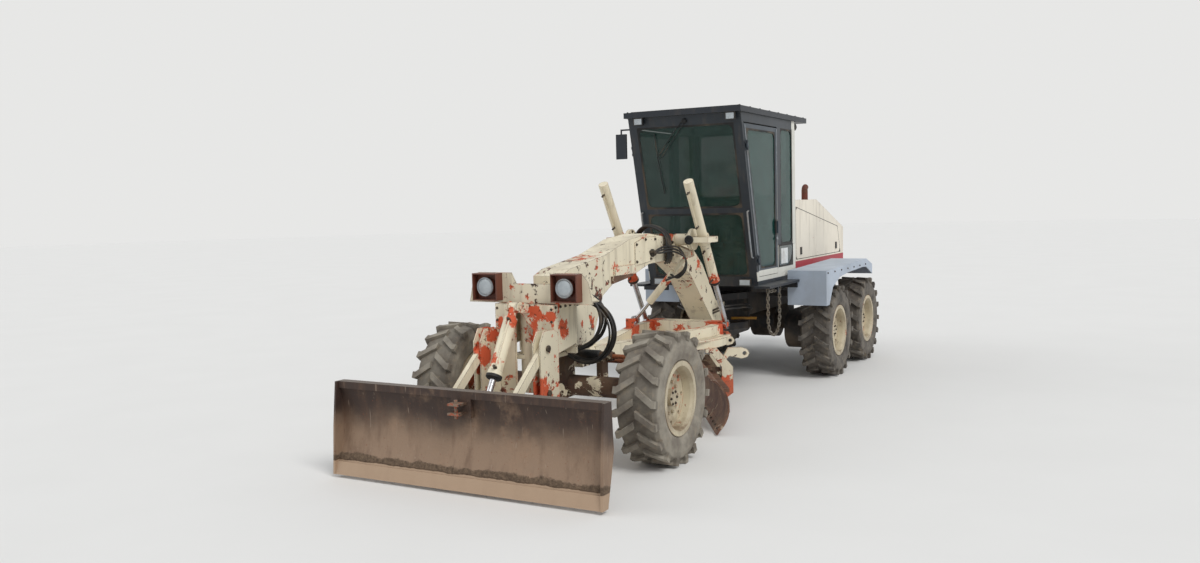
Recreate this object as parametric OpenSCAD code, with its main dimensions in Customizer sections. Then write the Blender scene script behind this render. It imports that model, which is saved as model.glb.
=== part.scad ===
// Articulated motor grader with a front dozer blade, in millimetres.
// The front faces -Y, +X is the machine's left side, +Z is up, and the
// ground is Z = 0. Places along Y are given from the front axle, and the
// whole machine is shifted by mid_y so that it stands centred on the origin.

/* [Wheels] */
// Outer diameter over the lugs
tyre_d = 1180; // [1140:10:1220]
// Width of a tyre over the lugs
tyre_w = 400; // [360:10:420]
// Diameter over the rim flanges
rim_d = 664; // [640:2:680]
// Height of the tread lugs
lug_h = 38; // [24:2:46]
// Lugs in one row round the tyre
lug_count = 18; // [14:1:20]
// Centre plane of the wheels from the machine's middle
wheel_x = 1075; // [1065:5:1090]

/* [Layout] */
// Front axle to first rear axle
base_y = 5050; // [4950:10:5150]
// First rear axle to second
tandem_y = 1460; // [1440:10:1480]
// Articulation pin behind the front axle
hinge_y = 3750; // [3730:10:3770]
// Shift that centres the machine on the origin
mid_y = 3070; // [3050:5:3090]

/* [Front frame] */
// Width of the main box beam
beam_w = 300; // [280:10:320]
// Half width of the nose frame
nose_x = 305; // [300:5:312]
// Front face of the nose frame
nose_y = -555; // [-560:5:-550]
// Half width of the headboard
board_x = 545; // [535:5:560]
// Height of the headlamp centres
lamp_z = 1585; // [1575:5:1595]
// Headlamp centres from the middle
lamp_x = 415; // [405:5:425]

/* [Dozer] */
// Half width of the dozer blade
dozer_x = 1310; // [1290:10:1330]
// Top edge of the dozer blade
dozer_top = 830; // [800:5:850]
// Radius of the dozer blade's curve
dozer_r = 900; // [880:10:1000]
// Link pins across the machine, from the middle
link_x = 306; // [300:1:310]
// Link pins on the nose, behind the front axle
link_y = -735; // [-740:1:-730]
// Upper and lower link pin heights on the nose
link_up_z = 1085; // [1080:1:1090]
link_low_z = 700; // [695:1:705]
// Reach of the links forward and down
link_fwd = 640; // [635:1:645]
// Drop of the links from nose to blade
link_drop = 510; // [505:1:515]
// Diameter of the link pins
link_pin = 44; // [38:1:46]

/* [Drawbar and circle] */
// Ball of the drawbar behind the front axle
ball_y = 480; // [470:5:490]
// Height of the drawbar ball
ball_z = 860; // [855:5:870]
// Centre of the circle behind the front axle
circle_y = 2580; // [2570:5:2590]
// Outer radius of the circle
circle_r = 610; // [600:5:615]
// Middle of the circle's arms from its centre
arm_x = 535; // [525:1:540]
// Half length of the moldboard
mold_x = 1830; // [1750:10:1860]
// Angle of the moldboard as parked
mold_turn = -60; // [-62:1:-58]
// Radius of the moldboard's curve
mold_r = 308; // [300:1:316]
// Pin of the blade tilt behind the circle centre
tilt_y = 520; // [515:1:525]
// Height of the blade tilt pin
tilt_z = 250; // [245:1:255]

/* [Lift cylinders] */
// Gimbal centres from the middle
lift_x = 515; // [510:1:520]
// Gimbal centres behind the front axle
lift_y = 2290; // [2285:1:2295]
// Height of the gimbal centres
lift_z = 1895; // [1890:1:1900]
// Lift rod balls from the front axle
rod_y = 2910; // [2905:1:2915]
// Height of the lift rod balls
rod_z = 885; // [880:1:890]
// Outer diameter of the lift barrels
barrel_d = 110; // [100:2:116]

/* [Cab] */
// Half width of the cab
cab_x = 720; // [710:5:730]
// Front of the cab at its floor
cab_y0 = 3460; // [3445:5:3475]
// Front of the cab under the roof
cab_y1 = 2935; // [2920:5:2950]
// Rear wall of the cab
cab_y2 = 4870; // [4860:5:4880]
// Underside of the cab
cab_z0 = 1280; // [1275:5:1285]
// Top of the cab body, under the roof
cab_z1 = 3325; // [3310:5:3340]
// Thickness of the cab walls and doors
wall = 45; // [40:1:50]
// Gap round the doors
door_gap = 6; // [5:1:8]
// Rear edge of the doors
door_y = 4165; // [4150:5:4180]

/* [Hood] */
// Half width of the hood
hood_x = 590; // [580:5:600]
// Rear end of the hood
hood_y = 7640; // [7600:10:7680]
// Height of the hood
hood_top = 2310; // [2290:5:2330]
// Where the hood's top starts to fall
hood_fall_y = 6250; // [6200:10:6300]
// Height of the hood's rear end
hood_end_z = 1880; // [1870:5:1900]
// Half width over the fenders
fender_x = 1265; // [1255:5:1280]

/* [Hidden] */
$fn = 48;
axle_z = tyre_d / 2;
// Gap between faces that rest on each other
fit = 0.3;
mid_axle_y = base_y;
rear_axle_y = base_y + tandem_y;

module place() translate([0, -mid_y, 0]) children();
// A box from its six faces
module slab(x0, x1, y0, y1, z0, z1)
    translate([x0, y0, z0]) cube([x1 - x0, y1 - y0, z1 - z0]);
// The same box on both sides of the middle
module slabs(x0, x1, y0, y1, z0, z1)
    for (s = [-1, 1]) slab(s < 0 ? -x1 : x0, s < 0 ? -x0 : x1, y0, y1, z0, z1);
// A plate seen from the side: points are [y, z]
module side_plate(x0, x1, pts)
    translate([x0, 0, 0]) rotate([90, 0, 90]) linear_extrude(x1 - x0) polygon(pts);
module side_plates(x0, x1, pts) {
    side_plate(x0, x1, pts);
    side_plate(-x1, -x0, pts);
}
// A plate seen from the front: points are [x, z]
module front_plate(y0, y1, pts)
    translate([0, y1, 0]) rotate([90, 0, 0]) linear_extrude(y1 - y0) polygon(pts);
// A plate seen from above: points are [x, y]
module top_plate(z0, z1, pts)
    translate([0, 0, z0]) linear_extrude(z1 - z0) polygon(pts);
// A round bar across the machine
module bar_x(x0, x1, y, z, d)
    translate([x0, y, z]) rotate([0, 90, 0])
        cylinder(h = x1 - x0, d = d, $fn = d > 400 ? 240 : 48);
module bars_x(x0, x1, y, z, d) {
    bar_x(x0, x1, y, z, d);
    bar_x(-x1, -x0, y, z, d);
}
// A round bar along the machine
module bar_y(x, y0, y1, z, d)
    translate([x, y0, z]) rotate([-90, 0, 0]) cylinder(h = y1 - y0, d = d);
module bar_z(x, y, z0, z1, d)
    translate([x, y, z0]) cylinder(h = z1 - z0, d = d);
// A round bar in a plane across x, from [y, z] to [y, z]
module bar_yz(x, p, q, d)
    translate([x, p[0], p[1]]) rotate([atan2(p[0] - q[0], q[1] - p[1]), 0, 0])
        cylinder(h = norm(q - p), d = d);
// A round bar in a plane across y, from [x, z] to [x, z]
module bar_xz(y, p, q, d)
    translate([p[0], y, p[1]]) rotate([0, atan2(q[0] - p[0], q[1] - p[1]), 0])
        cylinder(h = norm(q - p), d = d);
function along(p, q, s) = p + (q - p) * s / norm(q - p);

// ---- wheels ----
bead_r = 299;
flange_w = 164;
crown_r = tyre_d / 2 - lug_h;
tread_w = tyre_w / 2;
lug_end = 85;
module tyre(x, y) {
    color([0.17, 0.16, 0.15]) translate([x, y, axle_z]) rotate([0, 90, 0]) {
        rotate_extrude($fn = 96) polygon([[bead_r, -flange_w], [rim_d / 2 + 2, -flange_w],
            [rim_d / 2 + 14, -tread_w + 20], [400, -tread_w + 5], [470, -tread_w + 2],
            [crown_r - 34, -tread_w + 12], [crown_r, -tread_w + 40],
            [crown_r, tread_w - 40], [crown_r - 34, tread_w - 12], [470, tread_w - 2],
            [400, tread_w - 5], [rim_d / 2 + 14, tread_w - 20],
            [rim_d / 2 + 2, flange_w], [bead_r, flange_w]]);
        for (s = [-1, 1], i = [0:lug_count - 1])
            rotate([0, 0, (i + (s < 0 ? 0.5 : 0)) * 360 / lug_count])
                translate([crown_r - 40, 0, 0]) rotate([90, 0, 90])
                    linear_extrude(sqrt(pow(tyre_d / 2, 2) - pow(lug_end, 2)) - crown_r + 40)
                        polygon([[-lug_end, s * 12], [-lug_end + 62, s * 12],
                            [lug_end, s * (tread_w - 30)], [lug_end, s * tread_w],
                            [lug_end - 62, s * tread_w], [lug_end - 62, s * (tread_w - 30)]]);
    }
}
disc_in = 60;
hub_d = 230;
// Rim seen from outside: s is 1 on the left side, -1 on the right
module rim(x, y, s, hub_in) {
    color([0.80, 0.76, 0.66]) translate([x, y, axle_z]) rotate([0, 90 * s, 0]) {
        difference() {
            rotate_extrude($fn = 96) polygon([[268, -flange_w - 14], [rim_d / 2, -flange_w - 14],
                [rim_d / 2, -flange_w - 1], [bead_r - 1, -flange_w - 1],
                [bead_r - 1, flange_w + 1], [rim_d / 2, flange_w + 1],
                [rim_d / 2, flange_w + 14], [286, flange_w + 14], [272, flange_w - 20],
                [262, disc_in + 16], [190, disc_in + 16], [160, disc_in + 4], [0, disc_in + 4],
                [0, disc_in - 12], [166, disc_in - 12], [196, disc_in], [268, disc_in]]);
            for (a = [0:45:359]) rotate(a) translate([225, 0, disc_in - 20])
                cylinder(h = 60, d = 36);
        }
        for (a = [18:36:359]) rotate(a) translate([140, 0, disc_in + 2])
            cylinder(h = 24, d = 30, $fn = 6);
        translate([0, 0, -hub_in]) cylinder(h = hub_in + disc_in - 11, d = hub_d);
        translate([0, 0, disc_in + 3]) cylinder(h = 46, d = 150);
    }
}
front_hub_in = 90;
rear_hub_in = wheel_x - 800.3;

// ---- front axle and steering ----
king_x = 800;
king_d = 60;
beam_z = 640;
tie_y = 220;
tie_z = 850;
// Depth of the tie rod's eyes under its middle
eye_t = 38;
// Steering cylinder along the beam
ram_y = 130;
ram_z = 905;
ram_d = 84;
// Half width of the block over the axle beam
axle_block = 140;
module front_axle() color([0.30, 0.24, 0.20]) difference() {
    union() {
        bar_x(-king_x + 110, king_x - 110, 0, beam_z, 190);
        slab(-axle_block, axle_block, -110, 70, beam_z - 110, under_z - 0.3);
        for (s = [-1, 1]) {
            slab(s < 0 ? -king_x - 30 : king_x - 130, s < 0 ? -king_x + 130 : king_x + 30,
                -60, 60, beam_z - 70, beam_z + 70);
            bar_z(s * king_x, 0, beam_z - 70, beam_z + 70, 130);
        }
        for (x = [-60, 400]) slab(x, x + 60, 20, ram_y, beam_z + 60, ram_z);
        bar_x(-100, 520, ram_y, ram_z, ram_d);
        for (x = [-104, 440]) bar_x(x, x + 60, ram_y, ram_z, ram_d + 12);
    }
    for (s = [-1, 1]) bar_z(s * king_x, 0, beam_z - 80, beam_z + 80, king_d + 1);
    bar_x(-60, 540, ram_y, ram_z, 60);
}
module knuckle(s) color([0.62, 0.22, 0.14]) {
    bar_z(s * king_x, 0, beam_z - 105, beam_z + 105, king_d);
    for (z = [beam_z - 108, beam_z + 75])
        slab(s < 0 ? -king_x - 80 : king_x - 60, s < 0 ? -king_x + 60 : king_x + 80,
            -60, 60, z, z + 33);
    slab(s < 0 ? -king_x - 105 : king_x + 72, s < 0 ? -king_x - 72 : king_x + 105,
        -60, 60, beam_z - 108, beam_z + 108);
    bar_x(s < 0 ? -wheel_x + front_hub_in + 0.3 : king_x + 72,
        s < 0 ? -king_x - 72 : wheel_x - front_hub_in - 0.3, 0, axle_z, 170);
    // Steering arm with its eye under the tie rod
    slab(s < 0 ? -king_x - 30 : king_x - 30, s < 0 ? -king_x + 30 : king_x + 30,
        50, tie_y, beam_z + 108 - 30, beam_z + 108);
    slab(s < 0 ? -king_x - 30 : king_x - 30, s < 0 ? -king_x + 30 : king_x + 30,
        tie_y - 90, tie_y, beam_z + 78, tie_z - eye_t - fit);
    bar_z(s * king_x, tie_y, tie_z - 80, tie_z - eye_t - fit, 90);
}
module tie_rod() color([0.75, 0.42, 0.25]) {
    bar_x(-king_x, king_x, tie_y, tie_z, 44);
    for (s = [-1, 1]) bar_z(s * king_x, tie_y, tie_z - eye_t, tie_z + 32, 72);
    slab(680, 740, 100, tie_y + 20, tie_z - 20, 930);
    bar_x(100, 690, ram_y, ram_z, 44);
}

// ---- front frame ----
under_z = 965;
beam_side = [[-150, under_z], [-150, 1660], [0, 1715], [680, 1805], [1222, 1941], [1683, 1985],
    [2440, 1890], [2780, 1800], [3100, 1570], [3510, 1100], [hinge_y, 1060],
    [hinge_y, 800], [3450, 800], [2755, 1464], [2450, 1620], [2048, 1673], [1661, 1660],
    [1349, 1586], [854, 1520], [628, 1415], [390, under_z]];
hinge_pin = 90;
// Height of the beam's top over the lift cylinders' saddle
function beam_top(y) = 1985 - (y - 1683) * 95 / 757;
module front_frame() color([0.82, 0.78, 0.68]) {
    difference() {
        union() {
            side_plate(-beam_w / 2, beam_w / 2, beam_side);
            bar_z(0, hinge_y, 800, 1060, 300);
            // Six sided doubling plates on the arch
            side_plate(-beam_w / 2 - 8, beam_w / 2 + 8, [[1330, 1660], [1330, 1900], [1560, 1950],
                [1820, 1950], [1880, 1790], [1700, 1690]]);
            // Long boxes on the beam's sides
            slab(-beam_w / 2 - 24, beam_w / 2 + 24, 857, 1300, 1590, 1680);
            // Seat of the drawbar ball
            slab(-110, 110, 262, 410, 760, 1000);
            bar_y(0, 400, ball_y, ball_z, 60);
            translate([0, ball_y, ball_z]) sphere(d = 120);
        }
        bar_z(0, hinge_y, 770, 1070, hinge_pin);
        // Room for the rear frame's fork plates round the pin
        slab(-200, 200, 3560, 4000, 1061, 1200);
    }
}
ear_t = 12;
clevis_t = 14;
module nose_frame() color([0.80, 0.74, 0.62]) {
    front_plate(nose_y, nose_y + 25, [[-nose_x, 600], [-nose_x, 1440], [nose_x, 1440],
        [nose_x, 600], [95, 600], [80, 1100], [95, 1210], [-30, 1360], [-100, 1360], [-100, 600]]);
    // Round tube behind the opening of the nose plate
    bar_z(0, -370, 640, 1439, 270);
    slab(-200, 200, -500, -150.3, 940, 980);
    slab(-nose_x, nose_x, -180, -150.3, under_z, 1440);
    side_plates(nose_x - 12, nose_x, [[nose_y + 20, 1000], [nose_y + 20, 1440],
        [-151, 1440], [-151, 1060]]);
    // Posts that carry the links
    for (s = [-1, 1], e = [-1, 1]) {
        x = s * link_x + e * 34;
        side_plate(x - ear_t / 2, x + ear_t / 2, [[nose_y + 5, 640], [nose_y + 5, 1205],
            [-640, 1240], [-780, 1240], [-850, 1130], [-850, 640]]);
    }
    for (s = [-1, 1], z = [link_up_z, link_low_z])
        bar_x(s * link_x - 48, s * link_x + 48, link_y, z, link_pin);
    // Clevis of the dozer cylinder
    for (s = [-1, 1]) side_plate(s * 50 - clevis_t / 2, s * 50 + clevis_t / 2, [[nose_y + 5, 1365],
        [nose_y + 5, 1440], [-700, 1480], [-750, 1462], [-758, 1410], [-700, 1378]]);
    bar_x(-70, 70, ram_p[0], ram_p[1], 40);
}
board_y = -450;
module headboard() color([0.83, 0.79, 0.68]) {
    difference() {
        front_plate(board_y - 12, board_y, [[-board_x - 105, 1440.3], [-board_x - 60, 1640],
            [-board_x, 1712], [board_x, 1712], [board_x + 60, 1640], [board_x + 105, 1440.3]]);
        front_plate(board_y - 20, board_y + 10, [[-190, 1720], [-135, 1615], [255, 1615], [255, 1720]]);
    }
    slab(-board_x, board_x, board_y - 1, -160, 1440.3, 1452.3);
    for (x = [-board_x, -board_x / 3, board_x / 3, board_x]) side_plate(x - 6, x + 6,
        [[board_y - 1, 1450], [board_y - 1, 1600], [-180, 1450]]);
}
module headlamps() for (s = [-1, 1]) {
    color([0.33, 0.10, 0.08]) difference() {
        slab(s * lamp_x - 132, s * lamp_x + 132, -560, board_y - 12.3, 1462, 1708);
        slab(s * lamp_x - 122, s * lamp_x + 122, -570, board_y - 32, 1472, 1698);
    }
    color([0.85, 0.85, 0.82]) bar_y(s * lamp_x, -540, board_y - 30, lamp_z, 160);
}

// ---- dozer ----
link_p = [link_y - link_fwd, link_up_z - link_drop];
link_q = [link_y - link_fwd, link_low_z - link_drop];
ram_p = [-705, 1430];
ram_q = [-1320, 412];
// Ends of the curved plate's arc, and the arc's centre in front of it
arc_low = [-1560, 100];
arc_high = [-1500, dozer_top - 30];
arc_c = (arc_low + arc_high) / 2 + [arc_low[1] - arc_high[1], arc_high[0] - arc_low[0]]
    / norm(arc_high - arc_low) * sqrt(dozer_r * dozer_r - pow(norm(arc_high - arc_low) / 2, 2));
plate_t = 20;
// Place just inside the curved plate at a height
function in_plate(z) = [arc_c[0] + sqrt(dozer_r * dozer_r - pow(z - arc_c[1], 2)) + 10, z];
module dozer_blade() color([0.36, 0.24, 0.17]) {
    difference() {
        intersection() {
            slab(-dozer_x, dozer_x, -1700, -1400, 100, dozer_top - 5);
            bar_x(-dozer_x, dozer_x, arc_c[0], arc_c[1], 2 * dozer_r + 2 * plate_t);
        }
        bar_x(-dozer_x - 10, dozer_x + 10, arc_c[0], arc_c[1], 2 * dozer_r);
    }
    slab(-dozer_x, dozer_x, -1512, -1420, dozer_top - 60, dozer_top);
    side_plate(-dozer_x, dozer_x, [[-1594, 30], [-1578, 30], [-1550, 140], [-1566, 140]]);
    side_plates(dozer_x, dozer_x + 20, [[-1600, 30], [-1575, 450], [-1535, dozer_top],
        [-1425, dozer_top], [-1400, 450], [-1510, 30]]);
    // Ribs, and ears for the links, on the back
    for (x = [-980, -640, 640, 980]) side_plate(x - 8, x + 8, [for (z = [130:80:760]) in_plate(z),
        [-1420, 760], [-1380, 620], [-1380, 260], [-1470, 130]]);
    for (s = [-1, 1], e = [-1, 1]) {
        x = s * link_x + e * 38;
        side_plate(x - ear_t / 2, x + ear_t / 2, [for (z = [130:80:690]) in_plate(z),
            [link_p[0] + 20, link_p[1] + 60], [link_p[0] + 45, link_p[1]],
            [link_p[0] + 20, link_p[1] - 60], [-1400, 400], [link_p[0] + 20, link_q[1] + 60],
            [link_p[0] + 45, link_q[1]], [link_p[0] + 10, 130]]);
    }
    for (s = [-1, 1], z = [link_p[1], link_q[1]])
        bar_x(s * link_x - 52, s * link_x + 52, link_p[0], z, link_pin);
    // Ears for the rod of the cylinder
    for (s = [-1, 1]) side_plate(s * 50 - clevis_t / 2, s * 50 + clevis_t / 2,
        [in_plate(300), in_plate(420), in_plate(540), [-1345, 480], [-1280, 450],
         [-1265, 412], [-1280, 370], [-1345, 340]]);
    bar_x(-70, 70, ram_q[0], ram_q[1], 50);
    // Towing jaw near the top
    slab(-95, 95, -1512, -1455, 615, 775);
    for (z = [650, 726]) slab(-60, 60, -1620, -1500, z, z + 18);
    bar_z(0, -1580, 620, 770, 30);
}
// Flat box bar with round ends, between two pins
module link_bar(x, p, q) difference() {
    union() {
        side_plate(x - 24, x + 24, [for (e = [[p, q, 1], [p, q, -1], [q, p, 1], [q, p, -1]])
            along(e[0], e[1], 20) + e[2] * 42 * [p[1] - q[1], q[0] - p[0]] / norm(q - p)
                * (e[0] == p ? 1 : -1)]);
        for (e = [p, q]) bar_x(x - 25, x + 25, e[0], e[1], 90);
    }
    for (e = [p, q]) bar_x(x - 31, x + 31, e[0], e[1], link_pin + 1);
}
module dozer_lower_link() color([0.55, 0.36, 0.24])
    for (s = [-1, 1]) link_bar(s * link_x, [link_y, link_low_z], link_q);
module dozer_upper_links() color([0.80, 0.72, 0.58])
    for (s = [-1, 1]) link_bar(s * link_x, [link_y, link_up_z], link_p);
module dozer_barrel() color([0.80, 0.76, 0.68]) difference() {
    union() {
        bar_x(-38, 38, ram_p[0], ram_p[1], 84);
        bar_yz(0, along(ram_p, ram_q, 20), along(ram_p, ram_q, 120), 72);
        bar_yz(0, along(ram_p, ram_q, 105), along(ram_p, ram_q, 640), 120);
        bar_yz(0, along(ram_p, ram_q, 600), along(ram_p, ram_q, 665), 132);
    }
    bar_x(-39, 39, ram_p[0], ram_p[1], 41);
    bar_yz(0, along(ram_p, ram_q, 140), along(ram_p, ram_q, 670), 58);
}
module dozer_rod() color([0.85, 0.85, 0.86]) difference() {
    union() {
        bar_yz(0, along(ram_p, ram_q, 370), along(ram_q, ram_p, 42), 56);
        bar_x(-34, 34, ram_q[0], ram_q[1], 116);
    }
    bar_x(-35, 35, ram_q[0], ram_q[1], 70);
}

// ---- drawbar, circle and moldboard ----
deck_z = 765;
module drawbar() color([0.80, 0.77, 0.68]) {
    difference() {
        union() {
            bar_y(0, ball_y - 46, ball_y + 170, ball_z, 170);
            slab(-80, 80, ball_y + 100, ball_y + 420, deck_z + 15, deck_z + 150);
            // Bosses of the grease plugs
            bars_x(72, 104, ball_y, ball_z, 80);
        }
        bar_y(0, ball_y - 34, ball_y + 70, ball_z, 127);
        bar_y(0, ball_y - 60, ball_y, ball_z, 100);
    }
    // Legs of the frame over the deck plate
    for (s = [-1, 1]) top_plate(deck_z + 10, deck_z + 135, [[s * -40, ball_y + 300],
        [s * 80, ball_y + 300], [s * 500, 2500], [s * 500, 2845], [s * 390, 2845], [s * 390, 2500]]);
    difference() {
        top_plate(deck_z, deck_z + 20, [[-250, 1500], [250, 1500], [560, 2300], [620, 2800],
            [480, 3060], [-480, 3060], [-620, 2800], [-560, 2300]]);
        translate([0, circle_y, deck_z - 10]) cylinder(h = 40, r = 320);
    }
    slab(-440, 440, 2840, 3010, deck_z + 10, deck_z + 150);
    // Pins of the lift rods
    bars_x(430, lift_x, rod_y, rod_z, 36);
    bars_x(lift_x - 20, lift_x + 20, rod_y, rod_z, 60);
    // Ear of the side shift rod
    slab(shift_q[0] - 45, shift_q[0] + 45, 2140, 2165, deck_z + 10, shift_q[1] + 30);
    bar_y(shift_q[0], 2150, 2345, shift_q[1], 44);
}
// Half thickness of the circle's arms
arm_t = 23;
module turning_circle() place_circle() color([0.78, 0.75, 0.66]) {
    difference() {
        translate([0, 0, 680]) cylinder(h = deck_z - 680.3, r = circle_r, $fn = 96);
        translate([0, 0, 670]) cylinder(h = 100, r = circle_r - 110, $fn = 96);
    }
    for (s = [-1, 1]) {
        slab(s < 0 ? -arm_x - arm_t : 360, s < 0 ? -360 : arm_x + arm_t, 300, 430, 640, 684);
        difference() {
            union() {
                side_plate(s * arm_x - arm_t, s * arm_x + arm_t, [[300, 684], [430, 684],
                    [600, 480], [600, 190], [530, 140], [470, 140], [440, 200], [440, 300],
                    [476, 370], [476, 480], [345, 640], [300, 640]]);
                // Tail lug with a spare pin hole
                side_plate(s * arm_x - arm_t, s * arm_x + arm_t, [[496, 598], [548, 692],
                    [700, 694], [760, 670], [785, 630], [760, 585], [700, 570], [560, 600], [510, 550]]);
            }
            bar_x(s * arm_x - arm_t - 5, s * arm_x + arm_t + 5, 730, 628, 44);
        }
        bar_x(s * arm_x - 73, s * arm_x + 73, tilt_y, tilt_z, 50);
    }
}
module place_circle() translate([0, circle_y, 0]) rotate([0, 0, mold_turn]) children();
mold_cy = 45;
mold_cz = 285;
rail_z = [190, 400];
module tilt_brackets() place_circle() color([0.55, 0.50, 0.44]) for (s = [-1, 1]) {
    x = s * (arm_x - 52);
    difference() {
        side_plate(x - 22, x + 22, [[tilt_y + 45, tilt_z + 60], [tilt_y + 45, tilt_z - 45],
            [tilt_y - 40, tilt_z - 60], [mold_cy + mold_r + 30, 150],
            [mold_cy + mold_r + 30, 470], [tilt_y - 60, 470]]);
        bar_x(x - 30, x + 30, tilt_y, tilt_z, 51);
        for (z = rail_z) slab(x - 30, x + 30, 300, mold_cy + mold_r + 62.4, z - 18.4, z + 18.4);
    }
}
module moldboard() place_circle() color([0.42, 0.36, 0.30]) {
    difference() {
        intersection() {
            slab(-mold_x, mold_x, mold_cy, mold_cy + 400, 60, 555);
            bar_x(-mold_x, mold_x, mold_cy, mold_cz, 2 * mold_r + 36);
        }
        bar_x(-mold_x - 10, mold_x + 10, mold_cy, mold_cz, 2 * mold_r);
    }
    side_plate(-mold_x, mold_x, [[mold_cy + 186, 16], [mold_cy + 204, 16],
        [mold_cy + 262, 100], [mold_cy + 244, 100]]);
    for (z = rail_z) slab(-mold_x + 300, mold_x - 300,
        mold_cy + sqrt(pow(mold_r + 18, 2) - pow(abs(z - mold_cz) + 18, 2)) - 6,
        mold_cy + mold_r + 62, z - 18, z + 18);
}

// ---- lift cylinders ----
lift_p = [lift_y, lift_z];
lift_q = [rod_y, rod_z];
lift_top = along(lift_p, lift_q, -745);
module lift_saddle() color([0.80, 0.76, 0.66]) {
    // Saddle over the beam
    side_plate(-beam_w / 2 - 40, beam_w / 2 + 40, [for (y = [[-150, 0.5], [150, 0.5], [150, 38], [-150, 38]])
        [lift_y + y[0], beam_top(lift_y + y[0]) + y[1]]]);
    side_plates(beam_w / 2 + 0.5, beam_w / 2 + 40, [[lift_y - 150, 1700], [lift_y + 150, 1700],
        [lift_y + 150, beam_top(lift_y + 150) + 2], [lift_y - 150, beam_top(lift_y - 150) + 2]]);
    bars_x(beam_w / 2 + 30, lift_x - 130, lift_y, lift_z, 130);
    for (s = [-1, 1]) difference() {
        union() {
            bar_x(s * (lift_x - 130) - 20, s * (lift_x - 130) + 20, lift_y, lift_z, 240);
            // Gimbal ring round the barrel
            difference() {
                slab(s * lift_x - 112, s * lift_x + 112, lift_y - 140, lift_y + 140,
                    lift_z - 32, lift_z + 32);
                slab(s * lift_x - 86, s * lift_x + 86, lift_y - 118, lift_y + 118,
                    lift_z - 40, lift_z + 40);
            }
        }
        bar_x(s * lift_x - 108, s * lift_x + 108, lift_y, lift_z, 45);
    }
    // Clevis of the side shift cylinder
    for (e = [-1, 1]) front_plate(lift_y + e * 40 - 10, lift_y + e * 40 + 10,
        [[150.5, 1850], [300, 1800], [375, 1765], [380, 1710], [330, 1690], [285, 1710],
         [230, 1770], [150.5, 1790]]);
    bar_y(shift_p[0], lift_y - 60, lift_y + 60, shift_p[1], 36);
}
module lift_barrel(s) color([0.80, 0.76, 0.66]) difference() {
    union() {
        bar_yz(s * lift_x, lift_top, along(lift_p, lift_q, 560), barrel_d);
        bar_yz(s * lift_x, along(lift_p, lift_q, -50), along(lift_p, lift_q, 50), barrel_d + 30);
        bar_yz(s * lift_x, along(lift_p, lift_q, 540), along(lift_p, lift_q, 590), barrel_d + 12);
        bar_x(s * lift_x - 107, s * lift_x + 107, lift_y, lift_z, 44);
    }
    bar_yz(s * lift_x, along(lift_p, lift_q, -560), along(lift_p, lift_q, 600), 62);
}
module lift_rod(s) color([0.85, 0.85, 0.86])  {
    difference() {
        union() {
            bar_yz(s * lift_x, along(lift_p, lift_q, 120), along(lift_q, lift_p, 55), 60);
            bar_x(s * lift_x - 22, s * lift_x + 22, lift_q[0], lift_q[1], 112);
        }
        bar_x(s * lift_x - 23, s * lift_x + 23, lift_q[0], lift_q[1], 68);
    }
}
shift_p = [330, 1735];
shift_q = [-350, 975];
module shift_barrel() color([0.80, 0.76, 0.66]) difference() {
    union() {
        bar_xz(lift_y, along(shift_p, shift_q, 20), along(shift_p, shift_q, 275), 50);
        bar_xz(lift_y, along(shift_p, shift_q, 260), along(shift_p, shift_q, 740), 84);
        bar_y(shift_p[0], lift_y - 28, lift_y + 28, shift_p[1], 70);
    }
    bar_y(shift_p[0], lift_y - 30, lift_y + 30, shift_p[1], 37);
    bar_xz(lift_y, along(shift_p, shift_q, 290), along(shift_p, shift_q, 750), 46);
}
module shift_rod() color([0.85, 0.85, 0.86]) difference() {
    union() {
        bar_xz(lift_y, along(shift_p, shift_q, 440), along(shift_q, shift_p, 34), 44);
        bar_y(shift_q[0], lift_y - 22, lift_y + 22, shift_q[1], 100);
    }
    bar_y(shift_q[0], lift_y - 24, lift_y + 24, shift_q[1], 62);
}

// ---- rear frame ----
rail_x = 330;
rail_top = 1150;
hitch_y = hood_y + 70;
module rear_frame() color([0.13, 0.13, 0.14]) {
    // Fork round the articulation pin
    for (z = [[690, 772], [1068, 1150]]) {
        top_plate(z[0], z[1], [[-110, hinge_y - 60], [110, hinge_y - 60],
            [rail_x, hinge_y + 420], [-rail_x, hinge_y + 420]]);
        bar_z(0, hinge_y, z[0], z[1], 240);
    }
    bar_z(0, hinge_y, 680, 1165, hinge_pin - 1);
    slab(-rail_x, rail_x, hinge_y + 400, hinge_y + 430, 690, rail_top);
    slabs(rail_x - 70, rail_x, hinge_y + 420, hood_y - 80, 860, rail_top);
    slab(-rail_x, rail_x, hood_y - 180, hood_y - 80, 700, rail_top);
    // Towing jaw at the rear, bored for a pin
    for (z = [900, 990]) difference() {
        slab(-60, 60, hood_y - 90, hitch_y + 50, z, z + 30);
        bar_z(0, hitch_y, z - 5, z + 35, 40);
    }
    for (y = [4300, 5100, 6500]) slab(-rail_x, rail_x, y, y + 100, 900, 1080);
    // Carriers of the cab
    for (y = [4250, 4700]) slab(-600, 600, y, y + 90, rail_top, cab_z0 - fit);
    // Brackets of the fenders
    for (y = [base_y - 190, rear_axle_y - 250]) {
        slabs(rail_x - 30, 840, y, y + 60, 1040, 1120);
        slabs(fender_in + 10, 840, y, y + 60, 1110, fender_z(y) - fender_t - fit);
    }
}
axle_y = base_y + tandem_y / 2;
module rear_axle() color([0.16, 0.16, 0.17]) {
    bar_x(-560, 560, axle_y, axle_z + 20, 240);
    bar_x(-180, 180, axle_y, axle_z + 20, 460);
    for (s = [-1, 1]) slab(s * 295 - 60, s * 295 + 60, axle_y - 130, axle_y + 130,
        axle_z + 60, 859.7);
}
case_x0 = 580;
case_x1 = 800;
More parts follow.
